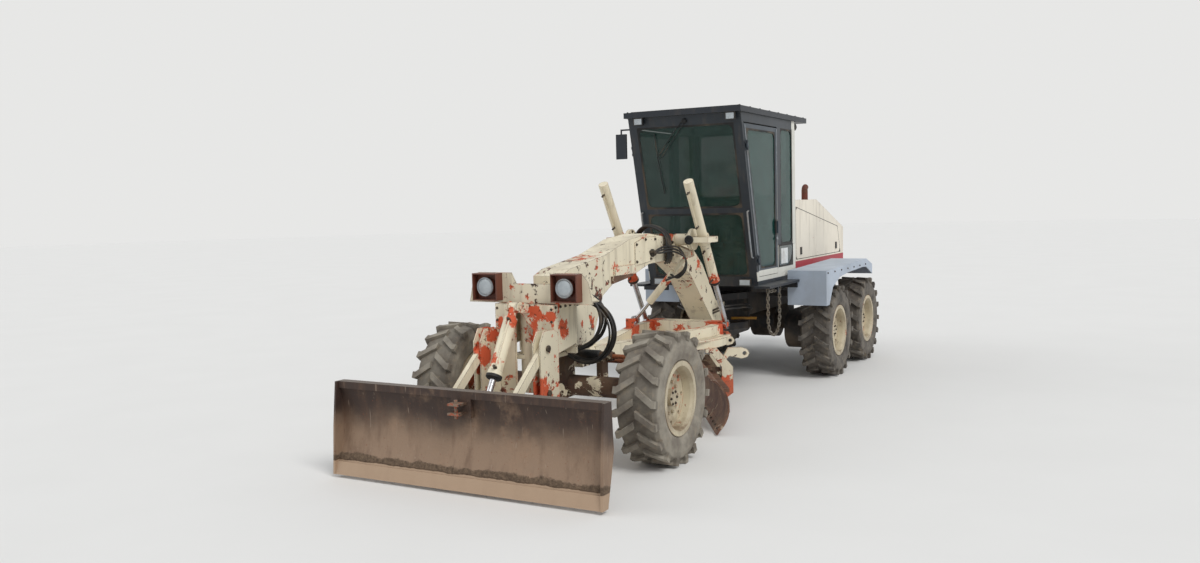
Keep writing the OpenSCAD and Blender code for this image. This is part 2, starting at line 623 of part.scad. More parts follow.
module tandem_cases() color([0.17, 0.17, 0.18]) for (s = [-1, 1]) {
    difference() {
        union() {
            bar_x(s < 0 ? -case_x1 : case_x0, s < 0 ? -case_x0 : case_x1, base_y, axle_z, 500);
            bar_x(s < 0 ? -case_x1 : case_x0, s < 0 ? -case_x0 : case_x1, rear_axle_y, axle_z, 500);
            slab(s < 0 ? -case_x1 : case_x0, s < 0 ? -case_x0 : case_x1,
                base_y, rear_axle_y, axle_z - 250, axle_z + 250);
        }
    }
    bar_x(s < 0 ? -case_x0 : case_x0 - 19.7, s < 0 ? -case_x0 + 19.7 : case_x0,
        axle_y, axle_z + 20, 320);
}

// ---- cab ----
rake = (cab_y0 - cab_y1) / (cab_z1 - cab_z0);
function front_at(z) = cab_y0 - (z - cab_z0) * rake;
sill_z = 1400;
head_z = 3210;
hinge_s = 60;
module cab_side(x0, x1) side_plate(x0, x1, [[cab_y0, cab_z0], [cab_y2, cab_z0],
    [cab_y2, cab_z1], [cab_y1, cab_z1]]);
// Opening of a door, grown by g all round
module door_hole(x0, x1, g) side_plate(x0, x1, [[front_at(sill_z) + hinge_s - g, sill_z - g],
    [door_y + g, sill_z - g], [door_y + g, head_z + g], [front_at(head_z) + hinge_s - g, head_z + g]]);
module door_pane(x0, x1, g) side_plate(x0, x1, [[front_at(sill_z) + hinge_s + 70 - g, sill_z + 90 - g],
    [door_y - 60 + g, sill_z + 90 - g], [door_y - 60 + g, head_z - 60 + g],
    [front_at(head_z) + hinge_s + 70 - g, head_z - 60 + g]]);
quarter = [[4300, 1755], [4810, 1755], [4810, head_z], [4300, head_z]];
quarter_pane = [[4300.3, 1755.3], [4809.7, 1755.3], [4809.7, head_z - 0.3], [4300.3, head_z - 0.3]];
screen_x = 620;
bar_z1 = 2200;
module screen_hole(z0, z1, x, g) intersection() {
    side_plate(-x - g, x + g, [[2800, z0 - g], [3700, z0 - g], [3700, z1 + g], [2800, z1 + g]]);
    slab(-1000, 1000, 2800, 3700, 1000, 3400);
}
hinge_at = [1600, 2950];
door_axis = cab_x + 16;
module on_hinge(s, z) translate([s * door_axis, front_at(z) + hinge_s - 2, z])
    rotate([atan(rake), 0, 0]) children();
module cab_hinges(s) for (z = hinge_at) on_hinge(s, z) {
    cylinder(h = 112, d = 16, center = true);
    for (k = [-41, 41]) translate([0, 0, k]) {
        cylinder(h = 30, d = 30, center = true);
        translate([-s * 11, -28, 0]) cube([14, 44, 30], center = true);
    }
}
module door_hinges(s) for (z = hinge_at) on_hinge(s, z) difference() {
    union() {
        cylinder(h = 51.4, d = 30, center = true);
        translate([-s * 11, 27, 0]) cube([14, 46, 51.4], center = true);
    }
    cylinder(h = 60, d = 16.6, center = true);
}
module cab_body() color([0.20, 0.23, 0.27]) {
    cab_shell();
    for (s = [-1, 1]) cab_hinges(s);
}
module cab_shell() difference() {
    cab_side(-cab_x, cab_x);
    side_plate(-cab_x + wall, cab_x - wall, [[cab_y0 + wall, cab_z0 + wall],
        [cab_y2 - wall, cab_z0 + wall], [cab_y2 - wall, cab_z1 + 10],
        [cab_y1 + wall - 3, cab_z1 + 10]]);
    for (s = [-1, 1]) {
        door_hole(s < 0 ? -cab_x - 10 : cab_x - wall - 10, s < 0 ? -cab_x + wall + 10 : cab_x + 10,
            door_gap);
        side_plate(s < 0 ? -cab_x - 10 : cab_x - wall - 10, s < 0 ? -cab_x + wall + 10 : cab_x + 10,
            quarter);
    }
    screen_hole(sill_z, bar_z1 - 30, screen_x, 0);
    screen_hole(bar_z1 + 30, head_z, screen_x, 0);
    slab(-screen_x, screen_x, cab_y2 - wall - 10, cab_y2 + 10, 2360, head_z);
}
module cab_roof() color([0.19, 0.22, 0.26]) {
    slab(-745, 745, 2871, 5310, cab_z1 + 0.3, cab_z1 + 66);
    slab(-690, 690, 2955, 5225, cab_z1 + 66, cab_z1 + 80);
}
pane_gap = 0.3;
module cab_glass() color([0.18, 0.24, 0.24, 0.6]) {
    for (z = [[sill_z, bar_z1 - 30], [bar_z1 + 30, head_z]])
        side_plate(-screen_x + pane_gap, screen_x - pane_gap,
            [[front_at(z[0]) + 10, z[0] + pane_gap], [front_at(z[0]) + 34, z[0] + pane_gap],
             [front_at(z[1]) + 34, z[1] - pane_gap], [front_at(z[1]) + 10, z[1] - pane_gap]]);
    for (s = [-1, 1]) side_plate(s < 0 ? -cab_x + 10 : cab_x - 34, s < 0 ? -cab_x + 34 : cab_x - 10,
        quarter_pane);
    slab(-screen_x + pane_gap, screen_x - pane_gap, cab_y2 - 34, cab_y2 - 10, 2360.3, head_z - 0.3);
}
module door(s) color([0.85, 0.83, 0.76]) {
    difference() {
        door_hole(s < 0 ? -cab_x : cab_x - wall, s < 0 ? -cab_x + wall : cab_x, 0);
        slab(-1000, 1000, 2900, 4300, head_z - 10, head_z + 20);
        door_pane(s < 0 ? -cab_x - 10 : cab_x - wall - 10, s < 0 ? -cab_x + wall + 10 : cab_x + 10, 0);
    }
    door_hinges(s);
    // Handle
    slab(s < 0 ? -cab_x - 30 : cab_x, s < 0 ? -cab_x : cab_x + 30, door_y - 50, door_y - 20, 1900, 2050);
}
module door_glass(s) color([0.18, 0.24, 0.24, 0.6])
    door_pane(s < 0 ? -cab_x + 10 : cab_x - 34, s < 0 ? -cab_x + 34 : cab_x - 10, -pane_gap);

module seat() color([0.30, 0.34, 0.30]) {
    slab(-170, 170, 4060, 4400, cab_z0 + wall, 1640);
    slab(-240, 240, 3980, 4480, 1640, 1760);
    side_plate(-230, 230, [[4380, 1740], [4480, 1740], [4580, 2360], [4500, 2380]]);
}
module console() color([0.16, 0.17, 0.18]) {
    slab(-120, 120, 3640, 3760, cab_z0 + wall, 1560);
    bar_yz(0, [3700, 1540], [3800, 2010], 70);
    translate([0, 3800, 2010]) rotate([-12, 0, 0]) difference() {
        cylinder(h = 30, d = 420);
        difference() {
            translate([0, 0, -1]) cylinder(h = 32, d = 360);
            slab(-200, 200, -18, 18, -2, 40);
            cylinder(h = 40, d = 80);
        }
    }
    slabs(200, 330, 3640, 3760, cab_z0 + wall, 1800);
}

// ---- hood and engine ----
hood_t = 20;
module hood() color([0.82, 0.78, 0.68]) difference() {
    side_plate(-hood_x, hood_x, [[cab_y2 + 25, rail_top + fit], [cab_y2 + 25, hood_top],
        [hood_fall_y, hood_top], [hood_y - 160, hood_end_z + 50], [hood_y, hood_end_z],
        [hood_y, rail_top + fit]]);
    side_plate(-hood_x + hood_t, hood_x - hood_t, [[cab_y2 + 25 + hood_t, rail_top - 10],
        [cab_y2 + 25 + hood_t, hood_top - hood_t], [hood_fall_y - 5, hood_top - hood_t],
        [hood_y - 170, hood_end_z + 50 - hood_t], [hood_y + 20, hood_end_z - hood_t - 2],
        [hood_y + 20, rail_top - 10]]);
}
module grille() color([0.15, 0.15, 0.15]) {
    difference() {
        slab(-hood_x + 20.3, hood_x - 20.3, hood_y - 50, hood_y - 10, rail_top + 1, hood_end_z - 22);
        slab(-hood_x + 90, hood_x - 90, hood_y - 60, hood_y, 1230, 1800);
    }
    for (z = [1270:70:1780]) slab(-hood_x + 85, hood_x - 85, hood_y - 45, hood_y - 15, z, z + 26);
}
module engine() color([0.25, 0.25, 0.24]) slab(-350, 350, 5350, 6650, rail_top + fit, 1900);
module exhaust() color([0.40, 0.22, 0.15]) {
    bar_z(440, 6180, hood_top + 0.3, hood_top + 140, 90);
    bar_z(-150, 5600, hood_top + 0.3, hood_top + 60, 220);
}
fender_in = 760;
fender_t = 12;
// Ends of the fender's two top faces, and its height at the front
fender_y0 = base_y - 630;
fender_y1 = rear_axle_y - 110;
fender_y2 = rear_axle_y + 220;
fender_h = tyre_d + 230;
function fender_z(y) = fender_h + (y - fender_y0) * 45 / (fender_y1 - fender_y0);
module fenders() color([0.50, 0.55, 0.60]) for (s = [-1, 1]) {
    x0 = s < 0 ? -fender_x : fender_in;
    x1 = s < 0 ? -fender_in : fender_x;
    side_plate(x0, x1, [[fender_y0, fender_h], [fender_y1, fender_h + 45],
        [fender_y2, fender_h - 50], [fender_y2, fender_h - 50 - fender_t],
        [fender_y1, fender_h + 45 - fender_t], [fender_y0, fender_h - fender_t]]);
    slab(x0, x1, fender_y0, fender_y0 + fender_t, fender_h - 440, fender_h - fender_t + 1);
    slab(x0, x1, fender_y2 - fender_t, fender_y2, fender_h - 190, fender_h - 56);
    side_plate(s < 0 ? -fender_x : fender_x - fender_t, s < 0 ? -fender_x + fender_t : fender_x,
        [[fender_y0, fender_h - 440], [fender_y0 + 130, fender_h - 440],
         [fender_y0 + 285, fender_h - 225], [fender_y0 + 610, fender_h - 120],
         [fender_y0 + 1000, fender_h - 87], [fender_y1 - 200, fender_h - 62],
         [fender_y1, fender_h - 72], [fender_y2, fender_h - 190], [fender_y2, fender_h - 51],
         [fender_y1, fender_h + 44], [fender_y0, fender_h - 1]]);
}
module steps() color([0.18, 0.20, 0.23]) for (s = [-1, 1]) {
    slab(s < 0 ? -920 : cab_x + 0.3, s < 0 ? -cab_x - 0.3 : 920, 3290, fender_y0 - 5, 1272, 1300);
    for (y = [3640, 4370]) {
        slab(s < 0 ? -740 : 560, s < 0 ? -560 : 740, y, y + 30, 1200, cab_z0 - 0.3);
        slab(s < 0 ? -900 : 720, s < 0 ? -720 : 900, y, y + 30, 1200, 1275);
    }
}
module work_lamps() {
    // Under the front edge of the roof
    for (x = [-560, 610]) {
        color([0.2, 0.2, 0.2]) difference() {
            slab(x - 60, x + 60, 2878, 2920, cab_z1 - 90, cab_z1);
            slab(x - 50, x + 50, 2870, 2890, cab_z1 - 80, cab_z1 - 10);
        }
        color([0.9, 0.9, 0.85]) slab(x - 49, x + 49, 2880, 2891, cab_z1 - 79, cab_z1 - 11);
    }
    // Low on the front of the cab
    for (s = [-1, 1]) {
        color([0.2, 0.2, 0.2]) difference() {
            side_plate(s * 565 - 75, s * 565 + 75, [[3398, 1290], [front_at(1290) - 0.3, 1290],
                [front_at(1375) - 0.3, 1375], [3398, 1375]]);
            slab(s * 565 - 66, s * 565 + 66, 3390, 3410, 1299, 1366);
        }
        color([0.9, 0.9, 0.85]) slab(s * 565 - 65, s * 565 + 65, 3400, 3411, 1300, 1365);
    }
}
// Mirror on the right side, on an arm from the cab
module mirror_arm() color([0.16, 0.16, 0.17]) {
    bar_x(-840, -cab_x, 2985, 3200, 20);
    bar_z(-840, 2985, 3100, 3210, 20);
    slab(-910, -770, 2972, 2992, 2850, 3150);
}
// One link of the hanging chain, along z: a flat ring with round ends
link_in = 50;
wire = 11;
function ring_points(r) = [for (a = [0:30:180]) [r * cos(a), r * sin(a) + link_in / 2 - 8.5],
    for (a = [180:30:360]) [r * cos(a), r * sin(a) - link_in / 2 + 8.5]];
module chain_link() rotate([90, 0, 0]) linear_extrude(wire, center = true) difference() {
    polygon(ring_points(8.5 + wire));
    polygon(ring_points(8.5));
}
// The chain hangs in a loop under the running board: straight runs of links
// at both ends and a half circle of links between them
link_step = 44.6;
run_links = 8;
turn_links = 15;
chain_x = 860;
chain_y = 3595;
chain_r = 207.4;
chain_z = 901.2;
module tow_chain() color([0.62, 0.60, 0.56]) {
    for (s = [-1, 1], i = [0:run_links - 1])
        translate([chain_x, chain_y + s * chain_r, chain_z + (i + 0.5) * link_step])
            rotate([0, 0, i % 2 == 0 ? 90 : 0]) chain_link();
    for (i = [0:turn_links - 1]) translate([chain_x, chain_y, chain_z])
        rotate([(i + 0.5) * 180 / turn_links, 0, 0])
            translate([0, -chain_r, 0]) rotate([0, 0, i % 2 == 0 ? 0 : 90]) chain_link();
}
// Hoses looping from the beam's side down to the axle block: centre x and z,
// radius of the loop, and y
hose_at = [[330, 1150, 276, -94], [345, 1150, 290, -70], [330, 1155, 282, -46],
    [350, 1150, 280, -22], [320, 1145, 262, 2]];
hose_d = 20;
// Angle at which a hose's end meets a face across x
function end_angle(face, h) = acos((face + fit + hose_d / 2 * abs(face - h[0]) / h[2] - h[0]) / h[2]);
module hoses() color([0.06, 0.06, 0.06]) for (h = hose_at) {
    up = end_angle(beam_w / 2, h);
    down = end_angle(axle_block, h);
    translate([h[0], h[3], h[1]]) rotate([90, 0, 0]) rotate([0, 0, -down])
        rotate_extrude(angle = up + down) translate([h[2], 0]) circle(d = hose_d);
}

place() rear_frame();
place() rear_axle();
place() tandem_cases();
place() cab_body();
place() cab_roof();
place() cab_glass();
place() seat();
place() console();
place() hood();
place() engine();
place() grille();
place() exhaust();
place() fenders();
place() steps();
place() work_lamps();
place() mirror_arm();  // mirror
place() tow_chain();
place() front_frame();
place() nose_frame();
place() headboard();
place() headlamps();
place() front_axle();
place() lift_saddle();
place() hoses();
place() knuckle(1);  // knuckle_left
place() knuckle(-1);  // knuckle_right
place() tie_rod();
place() rim(wheel_x, 0, 1, front_hub_in);  // rim_front_left
place() tyre(wheel_x, 0);  // tyre_front_left
place() rim(-wheel_x, 0, -1, front_hub_in);  // rim_front_right
place() tyre(-wheel_x, 0);  // tyre_front_right
place() rim(wheel_x, mid_axle_y, 1, rear_hub_in);  // rim_mid_left
place() tyre(wheel_x, mid_axle_y);  // tyre_mid_left
place() rim(-wheel_x, mid_axle_y, -1, rear_hub_in);  // rim_mid_right
place() tyre(-wheel_x, mid_axle_y);  // tyre_mid_right
place() rim(wheel_x, rear_axle_y, 1, rear_hub_in);  // rim_rear_left
place() tyre(wheel_x, rear_axle_y);  // tyre_rear_left
place() rim(-wheel_x, rear_axle_y, -1, rear_hub_in);  // rim_rear_right
place() tyre(-wheel_x, rear_axle_y);  // tyre_rear_right
place() door(1);  // door_left
place() door_glass(1);  // door_left_glass
place() door(-1);  // door_right
place() door_glass(-1);  // door_right_glass
place() dozer_blade();
place() dozer_lower_link();
place() dozer_upper_links();
place() dozer_barrel();
place() dozer_rod();
place() drawbar();
place() turning_circle();  // circle
place() tilt_brackets();
place() moldboard();
place() lift_barrel(1);  // lift_barrel_left
place() lift_rod(1);  // lift_rod_left
place() lift_barrel(-1);  // lift_barrel_right
place() lift_rod(-1);  // lift_rod_right
place() shift_barrel();
place() shift_rod();
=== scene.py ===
# %% [markdown]
# # A motor grader, dressed for its photograph
# The steel of this grader was drawn as solids: frames, links, cylinders, cab, wheels.
# Here it gets its finishes (chipped cream paint, bare brown steel, dusty rubber), and
# the small pieces that a drawing leaves out: seals, bolts, wipers, pipes, a real seat.
# The solids are loaded first and never moved, so every piece added below can be placed
# by the same numbers as the drawing.

# %% load the frame
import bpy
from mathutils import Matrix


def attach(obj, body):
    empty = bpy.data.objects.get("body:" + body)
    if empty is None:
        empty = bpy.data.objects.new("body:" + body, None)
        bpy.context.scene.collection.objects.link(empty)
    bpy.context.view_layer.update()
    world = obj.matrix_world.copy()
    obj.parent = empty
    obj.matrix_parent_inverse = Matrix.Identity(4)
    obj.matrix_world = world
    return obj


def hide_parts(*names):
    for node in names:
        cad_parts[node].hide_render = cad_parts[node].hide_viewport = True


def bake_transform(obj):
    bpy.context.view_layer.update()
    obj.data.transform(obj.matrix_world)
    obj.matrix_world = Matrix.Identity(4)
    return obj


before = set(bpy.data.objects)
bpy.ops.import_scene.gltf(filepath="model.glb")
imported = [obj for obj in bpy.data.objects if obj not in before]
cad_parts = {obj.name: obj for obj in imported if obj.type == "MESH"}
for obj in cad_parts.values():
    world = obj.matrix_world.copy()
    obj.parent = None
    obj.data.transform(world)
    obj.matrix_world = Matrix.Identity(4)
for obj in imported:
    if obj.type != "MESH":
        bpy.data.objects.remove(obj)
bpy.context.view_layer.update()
import math
import bpy, bmesh
from mathutils import Matrix, Vector

# %% [markdown]
# ## Places
# The drawing counts millimetres from the front axle, along the machine, and the frame
# is in metres with its middle at the origin. One small function turns one into the
# other, so that every place below reads like the drawing. Two more give the corners of
# an upright rectangle, because many of the small plates are just that.

# %% places on the machine
FRONT_AXLE = -3070.0
AXLES = {"front": 0, "mid": 5050, "rear": 6510}
AXLE_Z = 590
CIRCLE_Y = 2580
SIDES = ((1, "left"), (-1, "right"))
def at(x, y, z):
    return Vector((x / 1000, (y + FRONT_AXLE) / 1000, z / 1000))
def side_quad(x, y0, y1, z0, z1):
    """An upright rectangle that looks to the side."""
    return [at(x, y, z) for y, z in ((y0, z0), (y1, z0), (y1, z1), (y0, z1))]
def front_quad(y, x0, x1, z0, z1):
    """An upright rectangle that looks ahead."""
    return [at(x, y, z) for x, z in ((x0, z0), (x1, z0), (x1, z1), (x0, z1))]
def placed(name, data):
    """A new object in the scene, made of this data."""
    ob = bpy.data.objects.new(name, data)
    bpy.context.scene.collection.objects.link(ob)
    return ob
print("front axle at", at(0, 0, AXLE_Z), "second rear axle at", at(0, AXLES["rear"], AXLE_Z))

# %% [markdown]
# ## The camera
# The photograph was taken from the machine's front left, a little above head height.
# The place and the turn were worked out from wheels, lamps and cab corners, so they are
# set as numbers instead of by eye. A lens of about 30 mm on a 36 mm film gives the same
# frame as the photograph, and the centre needs no shift.

# %% camera
CAMERA_PLACE = (4.886, -11.046, 2.287)
YAW, PITCH, ROLL = 28.981, 4.272, -1.367
FOCAL_PIXELS, PHOTO_WIDTH, FILM = 1008.28, 1200, 36.0
def aim(yaw, pitch, roll):
    yaw, pitch, roll = (math.radians(a) for a in (yaw, pitch, roll))
    forward = Vector((-math.sin(yaw) * math.cos(pitch), math.cos(yaw) * math.cos(pitch),
                      -math.sin(pitch)))
    right = Vector((math.cos(yaw), math.sin(yaw), 0))
    up = right.cross(forward)
    r = right * math.cos(roll) + up * math.sin(roll)
    u = -right * math.sin(roll) + up * math.cos(roll)
    return Matrix((r, u, -forward)).transposed()
camera = placed("camera", bpy.data.cameras.new("camera"))
camera.data.sensor_width = FILM
camera.data.lens = FOCAL_PIXELS / PHOTO_WIDTH * FILM
camera.data.clip_end = 400
camera.matrix_world = Matrix.Translation(CAMERA_PLACE) @ aim(YAW, PITCH, ROLL).to_4x4()
bpy.context.scene.camera = camera
bpy.context.scene.view_settings.view_transform = "Standard"
print("lens", round(camera.data.lens, 2), "mm")

# %% [markdown]
# ## Light and floor
# An overcast day suits a big machine: light comes from the whole sky, with one soft
# sun that gives the round parts a bright side, and a weaker one from the other side.
# The floor is a wide pale disc that keeps the shadow. What the camera sees behind it is
# a pale colour of the world, which is kept apart from the light that the world gives.

# %% sky, sun and floor
SKY, SKY_STRENGTH, BACKDROP = (0.92, 0.96, 1.0, 1), 0.62, (0.80, 0.80, 0.79, 1)
def feed(tree, socket, value):
    """Links a node's output to the socket, or types a plain value in."""
    if isinstance(value, bpy.types.NodeSocket):
        tree.links.new(value, socket)
    else:
        socket.default_value = value
def lit_world():
    world = bpy.data.worlds.new("pale sky")
    world.use_nodes = True
    tree = world.node_tree
    tree.nodes.clear()
    new = tree.nodes.new
    out, path = new("ShaderNodeOutputWorld"), new("ShaderNodeLightPath")
    sky, seen = new("ShaderNodeBackground"), new("ShaderNodeBackground")
    for node, colour, strength in ((sky, SKY, SKY_STRENGTH), (seen, BACKDROP, 1.0)):
        node.inputs[0].default_value = colour
        node.inputs[1].default_value = strength
    mix = new("ShaderNodeMixShader")
    seen_by = 0.0
    for kind in ("Is Camera Ray", "Is Glossy Ray", "Is Transmission Ray"):
        either = new("ShaderNodeMath")
        either.operation = "MAXIMUM"
        feed(tree, either.inputs[0], path.outputs[kind])
        feed(tree, either.inputs[1], seen_by)
        seen_by = either.outputs[0]
    for socket, value in zip(mix.inputs, (seen_by, sky.outputs[0], seen.outputs[0])):
        feed(tree, socket, value)
    feed(tree, out.inputs[0], mix.outputs[0])
    bpy.context.scene.world = world
lit_world()
def sun(name, strength, softness, azimuth, height):
    lamp = bpy.data.lights.new(name, "SUN")
    lamp.energy, lamp.angle = strength, math.radians(softness)
    placed(name, lamp).rotation_euler = (math.radians(90 - height), 0, math.radians(azimuth))
sun("soft sun", strength=1.55, softness=25, azimuth=62, height=48)
sun("fill", strength=0.45, softness=40, azimuth=-60, height=30)

def floor_disc(radius=90.0, sides=96):
    mesh = bpy.data.meshes.new("floor")
    turns = [2 * math.pi * i / sides for i in range(sides)]
    mesh.from_pydata([(radius * math.cos(t), radius * math.sin(t), 0.0) for t in turns],
                     [], [list(range(sides))])
    return placed("floor", mesh)
floor = floor_disc()

# %% [markdown]
# ## A kit for finishes
# Every finish is a small graph: patterns on object coordinates, masks made from them,
# and colours mixed by the masks. Writing the nodes out by hand takes many lines, so a
# few short helpers add one node each and return its output. Colours are typed as the
# 0 to 255 values that a photo program shows and turned into the linear values that
# the renderer wants.

# %% helpers for finishes
def rgb(r, g, b):
    def lin(c):
        c /= 255
        return c / 12.92 if c <= 0.04045 else ((c + 0.055) / 1.055) ** 2.4
    return (lin(r), lin(g), lin(b), 1.0)
def darker(colour, share):
    return tuple(c * share for c in colour[:3]) + (1,)
def grey(value):
    return (value, value, value, 1)

class Finish:
    """A material under construction, with one method for each kind of node used here."""
    def __init__(self, name):
        self.mat = bpy.data.materials.new(name)
        self.mat.use_nodes = True
        self.tree = self.mat.node_tree
        self.tree.nodes.clear()
        out = self.node("ShaderNodeOutputMaterial")
        self.skin = self.node("ShaderNodeBsdfPrincipled")
        feed(self.tree, out.inputs[0], self.skin.outputs[0])
        self.place = self.node("ShaderNodeTexCoord").outputs["Object"]
    def node(self, kind, inputs=None, **settings):
        """A new node with its settings, and with its inputs linked or typed in."""
        n = self.tree.nodes.new(kind)
        for key, value in settings.items():
            setattr(n, key, value)
        for key, value in (inputs or {}).items():
            feed(self.tree, n.inputs[key], value)
        return n
    def noise(self, scale, detail=4, rough=0.55, tall=None, twist=0.0):
        """A cloudy pattern; with tall below 1 it is drawn out along Z."""
        place = self.place
        if tall:
            place = self.node("ShaderNodeMapping", {"Scale": (1, 1, tall), "Vector": place}).outputs[0]
        return self.node("ShaderNodeTexNoise", {"Scale": scale, "Detail": detail, "Vector": place,
                         "Roughness": rough, "Distortion": twist}).outputs[0]
    def rise(self, value, low, high, a=0.0, b=1.0):
        """a below low, b above high, and a soft step between."""
        return self.node("ShaderNodeMapRange", {"Value": value, "From Min": low, "From Max": high,
                         "To Min": a, "To Max": b}, interpolation_type="SMOOTHSTEP").outputs[0]
    def calc(self, op, a, b=0.0, c=0.0):
        return self.node("ShaderNodeMath", {0: a, 1: b, 2: c}, operation=op).outputs[0]
    def times(self, a, b):
        return self.calc("MULTIPLY", a, b)
    def plus(self, a, b):
        return self.calc("ADD", a, b)
    def larger(self, a, b):
        return self.calc("MAXIMUM", a, b)
    def mix(self, mask, a, b):
        return self.node("ShaderNodeMix", {0: mask, 6: a, 7: b}, data_type="RGBA").outputs[2]
    def over(self, tone, mask, share, colour):
        """The colour laid over the tone where the mask is, up to this share."""
        return self.mix(self.times(mask, share), tone, colour)
    def axis(self, letter, vector=None):
        """One coordinate of the place, or of another vector."""
        n = self.node("ShaderNodeSeparateXYZ", {0: vector or self.place})
        return n.outputs["XYZ".index(letter)]
    def normal(self):
        return self.node("ShaderNodeNewGeometry").outputs["Normal"]
    def facing_up(self):
        """How far the face looks up, from -1 to 1."""
        return self.axis("Z", self.normal())
    def edges(self, width):
        """Bright along corners: where a rounded normal turns away from the real one."""
        b = self.node("ShaderNodeBevel", {"Radius": width}, samples=4)
        d = self.node("ShaderNodeVectorMath", {0: b.outputs[0], 1: self.normal()},
                      operation="DOT_PRODUCT")
        return self.calc("SUBTRACT", 1.0, d.outputs["Value"])
    def wander(self, by, scale, detail=4, rough=0.55):
        """A pattern round zero, which makes a border ragged when it is added."""
        return self.times(self.calc("SUBTRACT", self.noise(scale, detail, rough), 0.5), by)
    def near(self, spots, ragged, soft=0.01):
        """1 inside any of the round spots (x, y, z, radius), with a ragged border."""
        total = None
        for x, y, z, r in spots:
            d = self.node("ShaderNodeVectorMath", {0: self.place, 1: at(x, y, z)},
                          operation="DISTANCE")
            m = self.rise(self.plus(d.outputs["Value"], ragged),
                          r / 1000 - soft, r / 1000 + soft, 1.0, 0.0)
            total = m if total is None else self.larger(total, m)
        return total
    def bump(self, height, distance, strength):
        n = self.node("ShaderNodeBump", {"Distance": distance, "Strength": strength, "Height": height})
        feed(self.tree, self.skin.inputs["Normal"], n.outputs[0])
    def done(self, colour, rough, metal=0.0, more=None):
        skin = {"Base Color": colour, "Roughness": rough, "Metallic": metal, **(more or {})}
        for key, value in skin.items():
            feed(self.tree, self.skin.inputs[key], value)
        return self.mat
print("cream", [round(v, 3) for v in rgb(232, 222, 196)])

# %% [markdown]
# ## Floor finish
# A plain studio floor: nearly one tone, with the faint mottling of painted concrete.

# %% floor finish
def floor_finish():
    f = Finish("studio floor")
    tone = f.mix(f.noise(0.8, 3), (0.74, 0.725, 0.70, 1), (0.78, 0.765, 0.74, 1))
    return f.done(tone, 0.85)
floor.data.materials.append(floor_finish())

# %% [markdown]
# ## Worn paint
# On the real machine cream paint lies over orange-red primer. It is chipped along the
# edges and where chains and boots rub, rust grows in the chips, and dust settles low
# down and on ledges. One function builds that stack of layers. Each call gives its own
# colours, how much is chipped, and the spots that the photograph shows as bare primer.

# %% worn paint
RUST, DUST, PRIMER = rgb(92, 52, 34), rgb(128, 110, 88), rgb(204, 88, 52)
CREAM, OLD_BROWN = rgb(232, 221, 194), rgb(62, 44, 36)
def worn_paint(name, paint, primer=PRIMER, chips=0.5, edge=0.5, dust=0.35, low=0.9, spots=(),
               stripe=None):
    """chips, edge: how bare faces and edges are. Dust lies below the height low. The spots
    are bare, and a stripe is a pair of heights and a colour."""
    f = Finish(name)
    broad, grain = f.noise(1.3, 4), f.noise(24, 6, 0.65)
    flake, runs = f.noise(11, 8, 0.7, twist=0.3), f.noise(9, 5, 0.6, tall=0.12)
    tone = f.mix(f.rise(broad, 0.3, 0.7), paint, darker(paint, 0.86))
    tone = f.over(tone, f.rise(runs, 0.52, 0.72), 0.35, DUST)
    if stripe:
        z, ((z0, z1), colour) = f.axis("Z"), stripe
        band = f.times(f.rise(z, z0 - 0.002, z0 + 0.002), f.rise(z, z1 - 0.002, z1 + 0.002, 1.0, 0.0))
        tone = f.mix(band, tone, colour)
    region = f.rise(broad, 0.42, 0.62)
    bare = f.rise(f.plus(flake, f.times(region, 0.10)), 0.74 - 0.10 * chips, 0.76 - 0.10 * chips)
    rubbed = f.rise(f.plus(f.times(f.edges(0.012), 1.6), f.times(flake, 0.9)),
                    0.98 - 0.36 * edge, 1.04 - 0.36 * edge)
    bare = f.larger(bare, rubbed)
    patched = f.near(spots, f.wander(0.44, 10, 8, 0.72)) if spots else None
    under = f.mix(f.rise(f.noise(2.6, 3), 0.48, 0.62), OLD_BROWN,
                  f.mix(f.rise(grain, 0.5, 0.64), primer, RUST))
    tone = f.mix(bare, tone, under)
    if spots:
        tone = f.mix(patched, tone, f.mix(f.rise(grain, 0.55, 0.66), primer, RUST))
        bare = f.larger(bare, patched)
    settle = f.plus(f.rise(f.axis("Z"), 0.2, low, dust, 0.0),
                    f.times(f.rise(f.facing_up(), 0.6, 0.95), dust * 0.8))
    settle = f.times(settle, f.rise(f.noise(3.1, 6, 0.65), 0.35, 0.65))
    tone = f.mix(settle, tone, DUST)
    f.bump(f.plus(f.times(bare, -1.0), f.times(grain, 0.25)), 0.0012, 0.6)
    return f.done(tone, f.plus(f.times(bare, 0.25), f.plus(f.times(grain, 0.15), 0.43)))
finishes = {}
